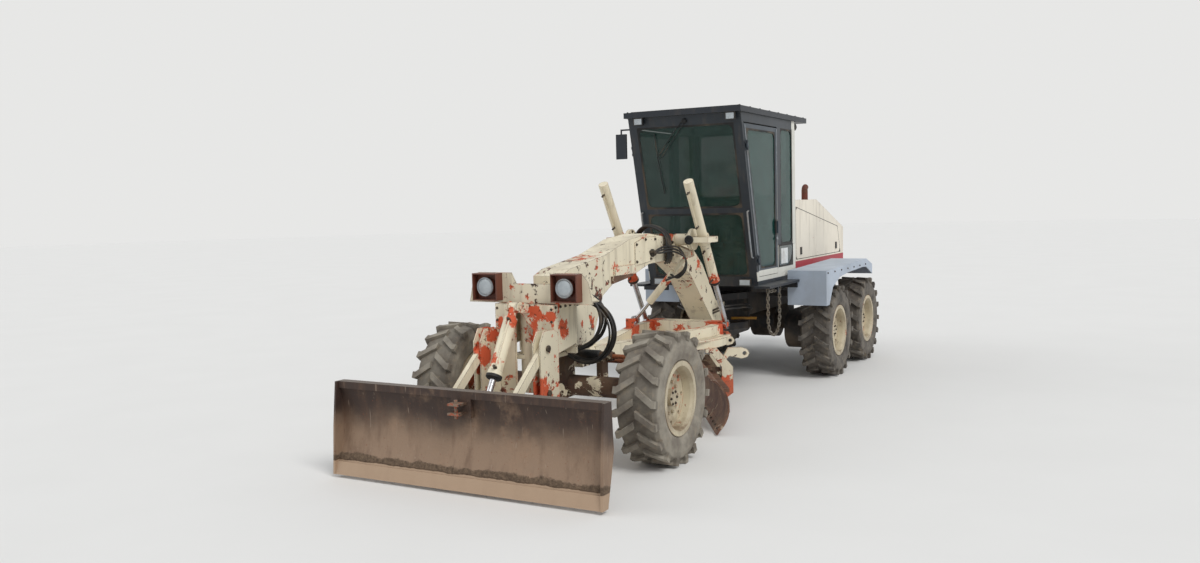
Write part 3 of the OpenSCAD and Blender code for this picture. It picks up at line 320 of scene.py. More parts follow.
for key, what, wear, spots in (
    ("beam", "beam", {"chips": 1.15, "edge": 0.72, "dust": 0.4},
     [(150, 2150, 1960, 100), (60, 2300, 1985, 150), (-150, 1950, 1960, 100), (150, 900, 1640, 40),
      (80, 3000, 1600, 90)]),
    ("nose", "nose", {"chips": 0.95, "edge": 0.85, "dust": 0.5},
     [(-20, -640, 1400, 90), (120, -560, 1370, 70), (-330, -640, 1190, 110), (300, -560, 1330, 40),
      (300, -850, 700, 150), (-300, -800, 1000, 110), (306, -400, 1210, 90), (200, -455, 1700, 35),
      (-60, -455, 1690, 45), (0, -470, 1460, 40), (-230, -560, 1240, 70), (90, -560, 1160, 80)]),
    ("link", "links", {"chips": 0.9, "edge": 0.9, "dust": 0.6},
     [(-306, -760, 1060, 150), (306, -760, 700, 140), (-330, -1300, 300, 150)]),
    ("lift", "cylinders", {"chips": 0.45, "edge": 0.45, "dust": 0.25},
     [(515, 2560, 1440, 85), (-515, 2560, 1440, 85), (330, 2290, 1735, 70), (60, 2290, 1420, 60),
      (-390, 2290, 1895, 90), (0, -760, 1330, 90), (0, -980, 1000, 60)]),
    ("drawbar", "drawbar", {"chips": 0.6, "edge": 0.75, "dust": 0.6},
     [(480, 2910, 880, 190), (-480, 2910, 880, 190), (-350, 2250, 850, 220), (0, 2600, 800, 240),
      (300, 2400, 900, 120)]),
    ("circle", "circle", {"chips": 0.55, "edge": 0.7, "dust": 0.5, "low": 0.7},
     [(710, 2380, 190, 180), (620, 2340, 130, 160), (-250, 3330, 190, 220)])):
    finishes[key] = worn_paint("cream paint of the " + what, CREAM, spots=spots, **wear)
finishes["rim"] = worn_paint("cream paint of the rims", rgb(204, 192, 164), chips=0.5, edge=0.45,
                             dust=0.85, low=1.5)
print("painted finishes", list(finishes))

# %% [markdown]
# ## Bare steel of the dozer blade
# The blade has lost its paint. Its upper third is nearly black brown, and the middle is
# polished brown by the earth that slides over it. Below a wavy line runs a thin band of
# dried mud, with the pale cutting edge under that. Bands along Z give the order, and a
# little noise added to Z makes their borders wander. Two round spots in the middle of
# the blade, high up, show paint and primer.

# %% dozer steel
def dozer_steel():
    f = Finish("brown blade steel")
    z = f.axis("Z")
    wavy = f.plus(z, f.wander(0.42, 2.2, 6, 0.6))
    runs, grain, clouds = f.noise(7, 6, 0.65, tall=0.18), f.noise(40, 6, 0.7), f.noise(3.0, 6, 0.62)
    tone = f.mix(f.rise(wavy, 0.34, 0.68), rgb(142, 118, 97), rgb(58, 43, 36))
    tone = f.over(tone, f.rise(runs, 0.45, 0.7), 0.55, rgb(98, 74, 58))
    tone = f.over(tone, f.rise(clouds, 0.55, 0.75), 0.6, rgb(150, 122, 98))
    tone = f.over(tone, f.rise(f.noise(60, 3), 0.66, 0.72), 0.7, rgb(120, 66, 40))
    scratch = f.rise(f.noise(50, 2, 0.5, tall=0.06), 0.68, 0.74)
    tone = f.over(tone, scratch, 0.35, rgb(168, 150, 132))
    mud_line = f.plus(z, f.wander(0.16, 3.6, 7, 0.7))
    low_line = f.plus(z, f.wander(0.03, 9, 5, 0.6))
    mud = f.times(f.rise(mud_line, 0.190, 0.206, 1.0, 0.0), f.rise(low_line, 0.150, 0.160))
    lumps = f.noise(34, 8, 0.75)
    tone = f.mix(mud, tone, f.mix(f.rise(lumps, 0.35, 0.65), rgb(84, 68, 55), rgb(124, 104, 84)))
    tone = f.over(tone, f.rise(low_line, 0.145, 0.155, 1.0, 0.0), 0.85, rgb(176, 150, 125))
    rail = f.times(f.rise(z, 0.765, 0.775), f.rise(f.facing_up(), 0.5, 0.9))
    tone = f.over(tone, rail, 0.8, rgb(112, 102, 94))
    jaw = f.near([(0, -1590, 745, 62), (0, -1600, 655, 60)], f.wander(0.05, 16, 4))
    tone = f.mix(f.times(jaw, 0.8), tone,
                 f.mix(f.rise(f.noise(30, 5), 0.5, 0.6), rgb(138, 118, 100), rgb(172, 84, 54)))
    f.bump(f.plus(f.times(mud, f.plus(2.0, f.times(lumps, 6.0))), f.times(grain, 0.6)), 0.004, 0.7)
    return f.done(tone, f.mix(mud, f.mix(runs, grey(0.5), grey(0.72)), grey(0.95)), 0.15)
finishes["dozer"] = dozer_steel()

# %% [markdown]
# ## Moldboard, axle and other worn steel
# The long blade under the machine, the axle beam and the knuckles are dark brown from
# rust and grease, with scraps of old cream paint. The same graph serves all of them
# with other numbers.

# %% worn steel
def worn_steel(name, dark, light, scraps):
    """scraps: how much of the old paint is left, 0 to 1."""
    f = Finish(name)
    clouds, grain = f.noise(4.5, 7, 0.65), f.noise(45, 6, 0.7)
    tone = f.mix(f.rise(clouds, 0.35, 0.65), dark, light)
    tone = f.over(tone, f.rise(grain, 0.5, 0.62), 0.5, RUST)
    patch = f.rise(f.noise(6.5, 8, 0.7, twist=0.4), 0.62 - 0.1 * scraps, 0.64 - 0.1 * scraps)
    tone = f.over(tone, patch, min(1.0, scraps * 2), CREAM)
    tone = f.over(tone, f.rise(f.noise(2.4, 6), 0.45, 0.7), 0.45, DUST)
    f.bump(grain, 0.0015, 0.7)
    return f.done(tone, 0.7, 0.25)
for key, name, dark, light, scraps in (
    ("moldboard", "worn steel of the moldboard", (84, 56, 46), (130, 96, 76), 0.25),
    ("axle", "greasy steel of the axle", (60, 44, 36), (98, 72, 56), 0.55),
    ("knuckle", "primer and rust of the knuckles", (120, 56, 34), (176, 86, 52), 0.3),
    ("tie", "worn tie rod", (90, 62, 46), (188, 104, 62), 0.35),
    ("bracket", "worn steel of the brackets", (84, 66, 54), (140, 118, 94), 0.6),
    ("exhaust", "burnt red exhaust", (72, 30, 24), (116, 52, 40), 0.0)):
    finishes[key] = worn_steel(name, rgb(*dark), rgb(*light), scraps)
print("steel finishes", [k for k in finishes if "steel" in finishes[k].name])

# %% [markdown]
# ## Dusty rubber
# The front tyres are grey with dried dust, the grooves have painted shade laid in as a
# darker band, and the side walls show faint moulded rings. Rings and grooves need the
# distance from the wheel's axle, so the finish is made once for each axle and works that
# distance out from Y and Z.

# %% tyre rubber
def tyre_rubber(name, axle_y, pale, dark):
    f = Finish(name)
    y = f.calc("SUBTRACT", f.axis("Y"), (axle_y + FRONT_AXLE) / 1000)
    z = f.calc("SUBTRACT", f.axis("Z"), AXLE_Z / 1000)
    r = f.calc("SQRT", f.plus(f.times(y, y), f.times(z, z)))
    clouds, grain = f.noise(5, 7, 0.62), f.noise(70, 6, 0.7)
    tone = f.mix(f.rise(clouds, 0.32, 0.68), dark, pale)
    # Painted shade: the rubber between radii 0.50 and 0.566 m, the floors of the grooves between the lugs,
    # is darkened.
    groove_shade, outer = f.rise(r, 0.548, 0.566, 1.0, 0.0), f.rise(r, 0.50, 0.535)
    tone = f.over(tone, f.times(groove_shade, outer), 0.45, rgb(70, 62, 54))
    tone = f.over(tone, f.rise(f.noise(14, 7, 0.7), 0.52, 0.66), 0.35, rgb(150, 134, 112))
    rings = f.calc("SINE", f.times(r, 520.0))
    wall = f.times(f.rise(r, 0.35, 0.37), f.rise(r, 0.49, 0.47, 0.0, 1.0))
    f.bump(f.plus(f.times(f.times(rings, wall), 0.35), f.times(grain, 1.2)), 0.0016, 0.8)
    return f.done(tone, 0.92)
for where, name, pale, dark in (("front", "dusty rubber in front", (150, 143, 130), (112, 104, 94)),
                                ("mid", "dusty rubber behind", (116, 110, 102), (70, 66, 62)),
                                ("rear", "dusty rubber at the rear", (116, 110, 102), (74, 69, 64))):
    finishes["tyre_" + where] = tyre_rubber(name, AXLES[where], rgb(*pale), rgb(*dark))
print("tyre finishes for axles at", list(AXLES.values()))

# %% [markdown]
# ## Slate, white and blue-grey paint
# Cab and roof are dark slate, with a white sill and rear pillar, and the fenders are a
# pale blue-grey that looks newer than the rest. These paints are whole, so a light
# dust, soft scuffs and a faint orange peel are all they need. The white of the cab is
# chosen by height and length on its outer sides. The hood, with its red stripe, and the
# lamp boxes are worn paint again.

# %% whole paints
SLATE, WHITE = rgb(38, 46, 54), rgb(222, 220, 210)
NOWHERE = 90  # metres, far behind the machine
def sound_paint(name, colour, dust, rough=0.42, white=None, low=1.6):
    """white: further out than x, it is white below z, behind y, and below panel_z behind
    panel_y, but never below z_from."""
    f = Finish(name)
    clouds, peel = f.noise(1.7, 5), f.noise(160, 2)
    tone = f.mix(f.rise(clouds, 0.3, 0.7), colour, darker(colour, 0.82))
    if white:
        z, y = f.axis("Z"), f.axis("Y")
        side = f.calc("GREATER_THAN", f.calc("ABSOLUTE", f.axis("X")), white["x"])
        sill = f.calc("LESS_THAN", z, white["z"])
        post = f.calc("GREATER_THAN", y, white["y"])
        panel = f.times(f.calc("LESS_THAN", z, white["panel_z"]),
                        f.calc("GREATER_THAN", y, white["panel_y"]))
        where = f.times(side, f.larger(sill, f.larger(post, panel)))
        above = f.calc("GREATER_THAN", z, white["z_from"])
        tone = f.mix(f.times(where, above), tone, WHITE)
    tone = f.over(tone, f.edges(0.006), 0.6, rgb(120, 118, 112))
    tone = f.over(tone, f.rise(f.noise(12, 5, 0.6, tall=0.1), 0.5, 0.75), dust * 0.5, DUST)
    settle = f.times(f.rise(f.axis("Z"), 0.6, low, dust, 0.0), f.rise(f.noise(3.4, 6), 0.35, 0.65))
    tone = f.mix(settle, tone, DUST)
    f.bump(peel, 0.0004, 0.4)
    return f.done(tone, f.plus(f.times(clouds, 0.25), rough - 0.1))
finishes["cab"] = sound_paint("slate paint of the cab", SLATE, 0.25,
    white={"x": 0.712, "z": 1.455, "z_from": 1.345, "y": (4748 + FRONT_AXLE) / 1000,
           "panel_z": 1.745, "panel_y": (4180 + FRONT_AXLE) / 1000})
finishes["door"] = sound_paint("slate paint of the doors", rgb(62, 71, 80), 0.25,
    white={"x": 0.6, "z": 1.470, "z_from": 0.0, "y": NOWHERE, "panel_z": 0.0, "panel_y": NOWHERE})
finishes["post"] = sound_paint("white paint of the rear posts", WHITE, 0.25)
finishes["roof"] = sound_paint("slate paint of the roof", rgb(22, 30, 40), 0.2)
finishes["fender"] = sound_paint("blue-grey paint of the fenders", rgb(176, 187, 201), 0.2, low=1.7)
finishes["frame"] = sound_paint("black paint of the rear frame", rgb(30, 30, 33), 0.4, 0.6, low=1.3)
finishes["hood"] = worn_paint("cream paint of the hood", rgb(238, 229, 212), chips=0.0, edge=0.12,
    dust=0.2, low=1.6, stripe=((1.330, 1.476), rgb(168, 44, 58)))
finishes["lampbox"] = worn_paint("red paint of the lamp boxes", rgb(112, 62, 46),
    primer=rgb(60, 34, 28), chips=0.5, edge=0.5, dust=0.3)
print("paints", len(finishes))

# %% [markdown]
# ## Glass, polished rods, rubber and plastic
# The cab's panes are tinted green and partly see-through, the side panes less so than
# the windscreen. The lift rods are polished steel with a film of oil. Everything dull,
# from hoses to bolt heads, shares one graph: a grain between two tones, and some dust.

# %% small finishes
SIDE_PANES = 0.69
def glass_finish():
    f = Finish("tinted glass")
    smear = f.noise(5, 6, 0.7)
    side = f.calc("GREATER_THAN", f.calc("ABSOLUTE", f.axis("X")), SIDE_PANES)
    alpha = f.plus(f.rise(smear, 0.2, 0.9, 0.54, 0.68), f.times(side, 0.18))
    tint = f.mix(f.rise(smear, 0.4, 0.8), rgb(42, 64, 58), rgb(60, 84, 78))
    tint = f.mix(side, tint, f.mix(f.rise(smear, 0.4, 0.8), rgb(20, 64, 58), rgb(36, 80, 73)))
    return f.done(tint, f.rise(smear, 0.3, 0.9, 0.04, 0.22),
                  more={"Alpha": alpha, "Specular IOR Level": 0.3})
def lens_finish():
    f = Finish("ribbed lamp glass")
    f.bump(f.calc("SINE", f.times(f.axis("X"), 700.0)), 0.0015, 0.8)
    return f.done(f.mix(f.noise(20, 4), rgb(160, 168, 172), rgb(200, 206, 210)), 0.22, 0.35)
def rod_finish():
    f = Finish("polished rod steel")
    lines = f.noise(220, 3, 0.6)
    f.bump(lines, 0.0002, 0.3)
    oily = f.mix(f.rise(f.noise(9, 5), 0.45, 0.75), (0.52, 0.52, 0.54, 1), (0.30, 0.27, 0.24, 1))
    return f.done(oily, f.rise(lines, 0.3, 0.7, 0.16, 0.3), 1.0)
def seat_cloth():
    f = Finish("seat cloth")
    weave = f.times(f.calc("SINE", f.times(f.axis("X"), 900.0)),
                    f.calc("SINE", f.times(f.plus(f.axis("Y"), f.axis("Z")), 900.0)))
    f.bump(weave, 0.0008, 0.7)
    return f.done(f.mix(f.rise(f.noise(8, 5), 0.35, 0.7), rgb(92, 104, 92), rgb(66, 76, 70)), 0.9,
                  more={"Sheen Weight": 0.3})
def dull(name, a, b, rough, scale=30, deep=0.001, metal=0.0):
    f = Finish(name)
    grain = f.noise(scale, 6, 0.65)
    dusty = f.times(f.rise(f.noise(4, 6), 0.45, 0.7), 0.35)
    f.bump(grain, deep, 0.7)
    return f.done(f.mix(dusty, f.mix(f.rise(grain, 0.3, 0.7), a, b), DUST), rough, metal)
finishes["glass"] = glass_finish()
finishes["lens"] = lens_finish()
finishes["rod"] = rod_finish()
for key, name, a, b, rough, more in (
    ("rubber", "black hose rubber", (20, 20, 21), (38, 37, 36), 0.55, {}),
    ("seal", "window seal rubber", (16, 17, 18), (30, 31, 32), 0.7, {}),
    ("plastic", "black grained plastic", (26, 27, 28), (44, 44, 45), 0.6, {"scale": 90}),
    ("chain", "galvanised chain", (150, 146, 136), (96, 86, 74), 0.5, {"scale": 60, "metal": 0.6}),
    ("bolt", "dirty bolt heads", (92, 84, 74), (58, 48, 40), 0.6, {"scale": 50, "metal": 0.5}),
    ("engine", "painted engine casting", (66, 68, 66), (40, 40, 40), 0.7, {"scale": 20, "deep": 0.002}),
    ("handle", "grey tube", (150, 156, 160), (120, 124, 128), 0.4, {}),
    ("plate", "blank plate", (226, 228, 226), (206, 208, 208), 0.5, {}),
    ("red_lens", "red lamp glass", (150, 22, 20), (110, 14, 14), 0.2, {"scale": 200, "deep": 0.0004}),
    ("panel", "dark side panel", (70, 84, 84), (52, 62, 64), 0.25, {"scale": 12, "deep": 0.0002}),
    ("amber", "yellow bar", (190, 136, 40), (140, 98, 36), 0.6, {})):
    finishes[key] = dull(name, rgb(*a), rgb(*b), rough, **more)
finishes["seat"] = seat_cloth()
print("all finishes", len(finishes))

# %% [markdown]
# ## Which solid wears which finish
# A node of the drawing keeps its shape and only gets its finish, so one table is
# enough.

# %% dress the solids
WORN_BY = {"frame": "rear_frame rear_axle tandem_cases grille", "cab": "cab_body",
    "roof": "cab_roof steps mirror", "glass": "cab_glass door_left_glass door_right_glass",
    "plastic": "console work_lamps", "hood": "hood", "engine": "engine", "seat": "seat",
    "exhaust": "exhaust", "fender": "fenders", "chain": "tow_chain", "beam": "front_frame lift_saddle",
    "nose": "nose_frame headboard", "lampbox": "headlamps", "axle": "front_axle", "rubber": "hoses",
    "knuckle": "knuckle_left knuckle_right", "tie": "tie_rod", "door": "door_left door_right",
    "dozer": "dozer_blade", "link": "dozer_lower_link dozer_upper_links", "drawbar": "drawbar",
    "lift": "dozer_barrel lift_barrel_left lift_barrel_right shift_barrel", "circle": "circle",
    "rod": "dozer_rod lift_rod_left lift_rod_right shift_rod", "bracket": "tilt_brackets",
    "moldboard": "moldboard"}
WEARS = {node: finish for finish, nodes in WORN_BY.items() for node in nodes.split()}
for where in AXLES:
    for _, side in SIDES:
        WEARS[f"rim_{where}_{side}"] = "rim"
        WEARS[f"tyre_{where}_{side}"] = "tyre_" + where
for node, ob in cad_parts.items():
    ob.data.materials.clear()
    ob.data.materials.append(finishes[WEARS[node]])
print("nodes dressed", len(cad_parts))

# %% [markdown]
# ## Helpers for added pieces
# Three kinds of small pieces cover most of what is missing. A tube follows a smooth
# line (hoses, rails, piping). A turned piece is a profile spun round a line (lamp
# glass, gland nuts, caps). A plate is a flat outline with a thickness. Each helper
# writes a closed mesh in its final place and lets it ride its body.

# %% tubes, turned pieces and plates
CRISP = math.radians(38)
NO_RADIUS = 1e-6
def piece(name, verts, faces, finish, body, smooth=True):
    mesh = bpy.data.meshes.new(name)
    mesh.from_pydata([tuple(v) for v in verts], [], faces)
    bm = bmesh.new()
    bm.from_mesh(mesh)
    bmesh.ops.remove_doubles(bm, verts=bm.verts, dist=1e-6)
    bmesh.ops.recalc_face_normals(bm, faces=bm.faces)
    bm.to_mesh(mesh)
    bm.free()
    if smooth:
        mesh.shade_smooth()
        mesh.set_sharp_from_angle(angle=CRISP)
    ob = placed(name, mesh)
    ob.data.materials.append(finishes[finish])
    if body:
        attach(ob, body)
    return ob

def smooth_line(points, steps=8, closed=False):
    """A curve through all the points, with this many steps from one to the next."""
    pts = [Vector(p) for p in points]
    if len(pts) < 3:
        return pts
    out, n = [], len(pts)
    for i in range(n if closed else n - 1):
        p0 = pts[i - 1] if closed or i else pts[0]
        p1, p2 = pts[i], pts[(i + 1) % n]
        p3 = pts[(i + 2) % n] if closed or i + 2 < n else p2
        for k in range(steps):
            t = k / steps
            out.append(0.5 * ((2 * p1) + (p2 - p0) * t + (2 * p0 - 5 * p1 + 4 * p2 - p3) * t * t
                              + (3 * p1 - p0 - 3 * p2 + p3) * t ** 3))
    return out if closed else out + [pts[-1]]

def tube(name, points, radius, finish, body, sides=12, steps=8, closed=False, flat=1.0):
    line = smooth_line(points, steps, closed)
    n = len(line)
    side, verts, faces = None, [], []
    for i, p in enumerate(line):
        a = line[i - 1] if closed or i else p
        b = line[(i + 1) % n] if closed or i + 1 < n else p
        ahead = (b - a).normalized()
        if side is None:
            side = ahead.orthogonal().normalized()
        side = (side - ahead * side.dot(ahead)).normalized()
        up = ahead.cross(side)
        verts += [p + (side * math.cos(t) * flat + up * math.sin(t)) * radius
                  for t in (2 * math.pi * k / sides for k in range(sides))]
    for i in range(n if closed else n - 1):
        for k in range(sides):
            j, m = (i + 1) % n, (k + 1) % sides
            faces.append((i * sides + k, i * sides + m, j * sides + m, j * sides + k))
    if not closed:
        faces += [tuple(range(sides)), tuple(reversed(range((n - 1) * sides, n * sides)))]
    return piece(name, verts, faces, finish, body)

def turned(name, foot, axis, profile, finish, body, sides=32):
    """profile: (distance along the axis, radius) pairs in metres; radius 0 is a pole."""
    axis = Vector(axis).normalized()
    side = axis.orthogonal().normalized()
    up = axis.cross(side)
    verts, faces, rows = [], [], []
    for d, r in profile:
        rows.append(len(verts))
        count = 1 if r < NO_RADIUS else sides
        verts += [Vector(foot) + axis * d + (side * math.cos(t) + up * math.sin(t)) * r
                  for t in (2 * math.pi * k / sides for k in range(count))]
    for i in range(len(profile) - 1):
        a, b = rows[i], rows[i + 1]
        one, two = profile[i][1] < NO_RADIUS, profile[i + 1][1] < NO_RADIUS
        for k in range(sides):
            m = (k + 1) % sides
            if one and not two:
                faces.append((a, b + m, b + k))
            elif two and not one:
                faces.append((a + k, a + m, b))
            elif not one and not two:
                faces.append((a + k, a + m, b + m, b + k))
    return piece(name, verts, faces, finish, body)

def plate(name, outline, thick, finish, body):
    """outline: points in one plane, in order; thick: the vector of its thickness."""
    pts, t = [Vector(p) for p in outline], Vector(thick)
    n = len(pts)
    faces = [tuple(range(n)), tuple(range(2 * n - 1, n - 1, -1))]
    faces += [(i, (i + 1) % n, n + (i + 1) % n, n + i) for i in range(n)]
    return piece(name, pts + [p + t for p in pts], faces, finish, body, smooth=False)
print("helpers ready")

# %% [markdown]
# ## Window seals
# The panes sit in rubber seals, and the visible corners of each window are round,
# while the openings of the drawing have square ones. Each seal is a flat ring: its
# outer line follows the opening, its inner line is the same line moved inward with
# round corners. Both lines have the same number of points, so faces join them
# directly. Behind each door stand the white rear post and, low down, a dark panel with
# one big round corner.

# %% seals with round corners
def rounded(corners, inset, radius, per=7):
    """The outline moved inward, with per points on each corner's arc."""
    out, n = [], len(corners)
    radii = radius if isinstance(radius, list) else [radius] * n
    for i, radius in enumerate(radii):
        p = Vector(corners[i])
        u = (Vector(corners[i - 1]) - p).normalized()
        v = (Vector(corners[(i + 1) % n]) - p).normalized()
        angle = u.angle(v)
        p = p + (u + v) * (inset / math.sin(angle))
        d = radius / math.tan(angle / 2)
        a, b = p + u * d, p + v * d
        centre = p + (u + v).normalized() * (radius / math.sin(angle / 2))
        ra, rb = a - centre, b - centre
        for k in range(per):
            t = k / (per - 1)
            out.append(centre + (ra * (1 - t) + rb * t).normalized() * radius)
    return out
def seal(name, corners, wide, radius, thick, body):
    outer, inner, t = rounded(corners, -0.002, 0.004), rounded(corners, wide, radius), Vector(thick)
    n = len(outer)
    verts = outer + inner + [p + t for p in outer] + [p + t for p in inner]
    faces = []
    for i in range(n):
        j = (i + 1) % n
        faces += [(i, j, n + j, n + i), (2 * n + i, 3 * n + i, 3 * n + j, 2 * n + j),
                  (i, 2 * n + i, 2 * n + j, j), (n + i, n + j, 3 * n + j, 3 * n + i)]
    return piece(name, verts, faces, "seal", body)
RAKE = (3460 - 2935) / (3325 - 1280)
def front_y(z):
    """Where the cab's raked front stands at this height."""
    return 3460 - (z - 1280) * RAKE
def screen(name, z0, z1):
    corners = [at(x, front_y(z) + 3, z) for x, z in ((-620, z0), (620, z0), (620, z1), (-620, z1))]
    return seal(name, corners, 0.022, 0.07, (0, 0.008, 0.002), "rear")
screen("seal_front_upper", 2230, 3210)
screen("seal_front_lower", 1400, 2170)
for s, side in SIDES:
    seal("seal_quarter_" + side, side_quad(s * 718, 4300, 4754, 1755, 3210), 0.020, 0.07,
         (-s * 0.009, 0, 0), "rear")
    low, high = 1490, 3150
    seal("seal_door_" + side, [at(s * 718, y, z) for y, z in (
         (front_y(1400) + 130, low), (4105, low), (4105, high), (front_y(3210) + 130, high))],
         0.020, 0.075, (-s * 0.009, 0, 0), "door_" + side)
    plate("rear_post_" + side, side_quad(s * 720.2, 4752, 4866, 1742, 3224), (s * 0.005, 0, 0),
          "post", "rear")
for s, side in SIDES:
    corners = side_quad(s * 720.2, 4196, 4756, 1470, 1748)
    plate("quarter_panel_" + side, rounded(corners, 0.004, [0.03, 0.22, 0.03, 0.03], 12),
          (s * 0.0015, 0, 0), "panel", "rear")
    seal("seal_panel_" + side, corners, 0.016, [0.03, 0.21, 0.03, 0.03], (s * 0.005, 0, 0), "rear")
seal("seal_rear", front_quad(4872, -620, 620, 2360, 3210), 0.02, 0.06, (0, -0.009, 0), "rear")

# %% [markdown]
# ## Wiper, trim strips, grab rails and blank plate
# Two thin arms come down from the top of the windscreen to the wiper blade. Light grey
# strips run down the edges of each door, and a bent rail stands off each corner post.
# The small white plate behind the door stays blank.

# %% cab details
def on_screen(x, z, off=14):
    """A place this far in front of the windscreen."""
    return at(x, front_y(z) - off, z)
for name, line, radius, flat in (
    ("wiper_arm_outer", ((-8, 3262), (-120, 3140, 30), (-380, 2850, 26)), 0.006, 1.0),
    ("wiper_arm_inner", ((40, 3262), (-70, 3130, 28), (-350, 2830, 24)), 0.005, 1.0),
    ("wiper_blade", ((-390, 3134, 12), (-383, 2860, 16), (-353, 2415, 12)), 0.009, 0.6)):
    tube(name, [on_screen(*p) for p in line], radius, "seal", "rear", 8, flat=flat)
turned("wiper_motor", on_screen(16, 3262, -6), (0, -1, -0.25),
       [(0, 0), (0, 0.03), (0.03, 0.03), (0.036, 0.024), (0.036, 0)], "seal", "rear")
RAIL = [(2190, 2), (2180, -34), (2150, -46), (1900, -50), (1680, -46), (1640, -34), (1630, 2)]
for s, side in SIDES:
    x, door = s * 722, "door_" + side
    tube("door_trim_" + side, [at(x, front_y(z) + 76, z) for z in (1470, 2000, 2600, 3180)],
         0.008, "handle", door, 8)
    tube("door_rear_trim_" + side, [at(x, 4150, z) for z in (1480, 2200, 3190)],
         0.007, "handle", door, 8)
    tube("grab_rail_" + side, [at(s * 690, front_y(z) + off, z) for z, off in RAIL],
         0.010, "handle", "rear", 10)
    plate("door_latch_" + side, side_quad(x, 4080, 4150, 1880, 2070), (s * 0.006, 0, 0),
          "plastic", door)
plate("blank_plate", side_quad(721.8, 4290, 4545, 1505, 1700), (0.003, 0, 0), "plate", "rear")
turned("door_knob", at(722, 4115, 1830), (1, 0, 0),
       [(0, 0), (0, 0.016), (0.012, 0.018), (0.02, 0.012), (0.02, 0)], "handle", "door_left")
print("cab details done")

# %% [markdown]
# ## Headlamps and work lamps
# Each headlamp has a pressed glass, bulging in front of a bright ring. The profile of
# the glass is a short arc, spun round the lamp's axis. The work lamps on the roof and
# under the windscreen have flat glasses.

# %% lamps
DOME = [(0.0, 0.0), (0.0, 0.074)] + [(0.004 + 0.014 * math.cos(a), 0.074 * math.sin(a))
        for a in (math.radians(90 - 10 * k) for k in range(9))] + [(0.018, 0.0)]
BEZEL = [(0.0, 0.072), (0.0, 0.086), (0.012, 0.086), (0.016, 0.080), (0.012, 0.072), (0.0, 0.072)]
for s, side in reversed(SIDES):
    turned("headlamp_glass_" + side, at(s * 415, -541, 1585), (0, -1, 0), DOME, "lens", "front", 40)
    turned("headlamp_ring_" + side, at(s * 415, -540, 1585), (0, -1, 0), BEZEL, "handle", "front", 40)
for x, side in ((-560, "right"), (610, "left")):
    plate("roof_lamp_glass_" + side, front_quad(2879, x - 48, x + 48, 3238, 3312), (0, 0.006, 0),
          "lens", "rear")
for s, side in reversed(SIDES):
    plate("low_lamp_glass_" + side, front_quad(3399, s * 565 - 64, s * 565 + 64, 1301, 1364),
          (0, 0.006, 0), "lens", "rear")
print("lamps done")

# %% [markdown]
# ## Bolts by the dozen
# A grader is held together by rows of hexagon bolts, all alike. A geometry nodes tree
# takes a mesh that is only points, sets a small mesh on each point, turns it and gives
# it a finish. Here the small mesh is a washer with a head on it, and size, direction
# and finish are inputs, so one tree serves every row on the machine.

# %% the bolt tree
def copier(name, inputs, build):
    """A tree that sets copies on points. build(new, link, inputs) adds its own nodes and
    returns the outputs for the mesh, the turn and the scale of a copy."""
    tree = bpy.data.node_groups.new(name, "GeometryNodeTree")
    io, new, link = tree.interface, tree.nodes.new, tree.links.new
    io.new_socket("Geometry", in_out="INPUT", socket_type="NodeSocketGeometry")
    keys = {label: io.new_socket(label, in_out="INPUT", socket_type="NodeSocket" + kind).identifier
            for label, kind in inputs}
    io.new_socket("Geometry", in_out="OUTPUT", socket_type="NodeSocketGeometry")
    gin, gout = new("NodeGroupInput"), new("NodeGroupOutput")
    mesh, turn, scale = build(new, link, gin.outputs)
    spread = new("GeometryNodeInstanceOnPoints")
    link(gin.outputs["Geometry"], spread.inputs["Points"])
    link(mesh, spread.inputs["Instance"])
    link(turn, spread.inputs["Rotation"])
    if scale:
        link(scale, spread.inputs["Scale"])
    real, paint = new("GeometryNodeRealizeInstances"), new("GeometryNodeSetMaterial")
    link(spread.outputs[0], real.inputs[0])
    link(real.outputs[0], paint.inputs["Geometry"])
    link(gin.outputs["Finish"], paint.inputs["Material"])
    link(paint.outputs[0], gout.inputs[0])
    return tree, keys
def bolt_head(new, link, inputs):
    head, washer = new("GeometryNodeMeshCylinder"), new("GeometryNodeMeshCylinder")
    for node, corners, radius, depth in ((head, 6, 0.5, 0.55), (washer, 16, 0.68, 0.16)):
        node.inputs["Vertices"].default_value = corners
        node.inputs["Radius"].default_value = radius
        node.inputs["Depth"].default_value = depth
    lift = new("GeometryNodeTransform")
    lift.inputs["Translation"].default_value = (0, 0, 0.3)
    link(head.outputs["Mesh"], lift.inputs["Geometry"])
    both = new("GeometryNodeJoinGeometry")
    link(lift.outputs[0], both.inputs[0])
    link(washer.outputs["Mesh"], both.inputs[0])
    turn = new("FunctionNodeAlignRotationToVector")
    turn.axis = "Z"
    link(inputs["Direction"], turn.inputs["Vector"])
    return both.outputs[0], turn.outputs[0], inputs["Size"]
BOLTS, BOLT_KEY = copier("bolt heads", (("Size", "Float"), ("Direction", "Vector"),
                                        ("Finish", "Material")), bolt_head)
def grown(name, base, tree, inputs, finish, body):
    """The plain mesh that a geometry nodes tree makes from a base mesh."""
    start = placed(name + "_start", base)
    mod = start.modifiers.new("grow", "NODES")
    mod.node_group = tree
    for key, value in inputs.items():
        mod[key] = value
    bpy.context.view_layer.update()
    seen = start.evaluated_get(bpy.context.evaluated_depsgraph_get())
    mesh = bpy.data.meshes.new_from_object(seen)
    bpy.data.objects.remove(start)
    mesh.name = name
    ob = placed(name, mesh)
    if not mesh.materials:
        mesh.materials.append(finishes[finish])
    if body:
        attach(ob, body)
    return ob
def bolts(name, spots, way, size, body, finish="bolt"):
    base = bpy.data.meshes.new(name)
    base.from_pydata([tuple(p) for p in spots], [], [])
    values = {"Size": size, "Direction": way, "Finish": finishes[finish]}
    return grown(name, base, BOLTS, {BOLT_KEY[k]: v for k, v in values.items()}, finish, body)
print("bolt tree inputs", BOLT_KEY)

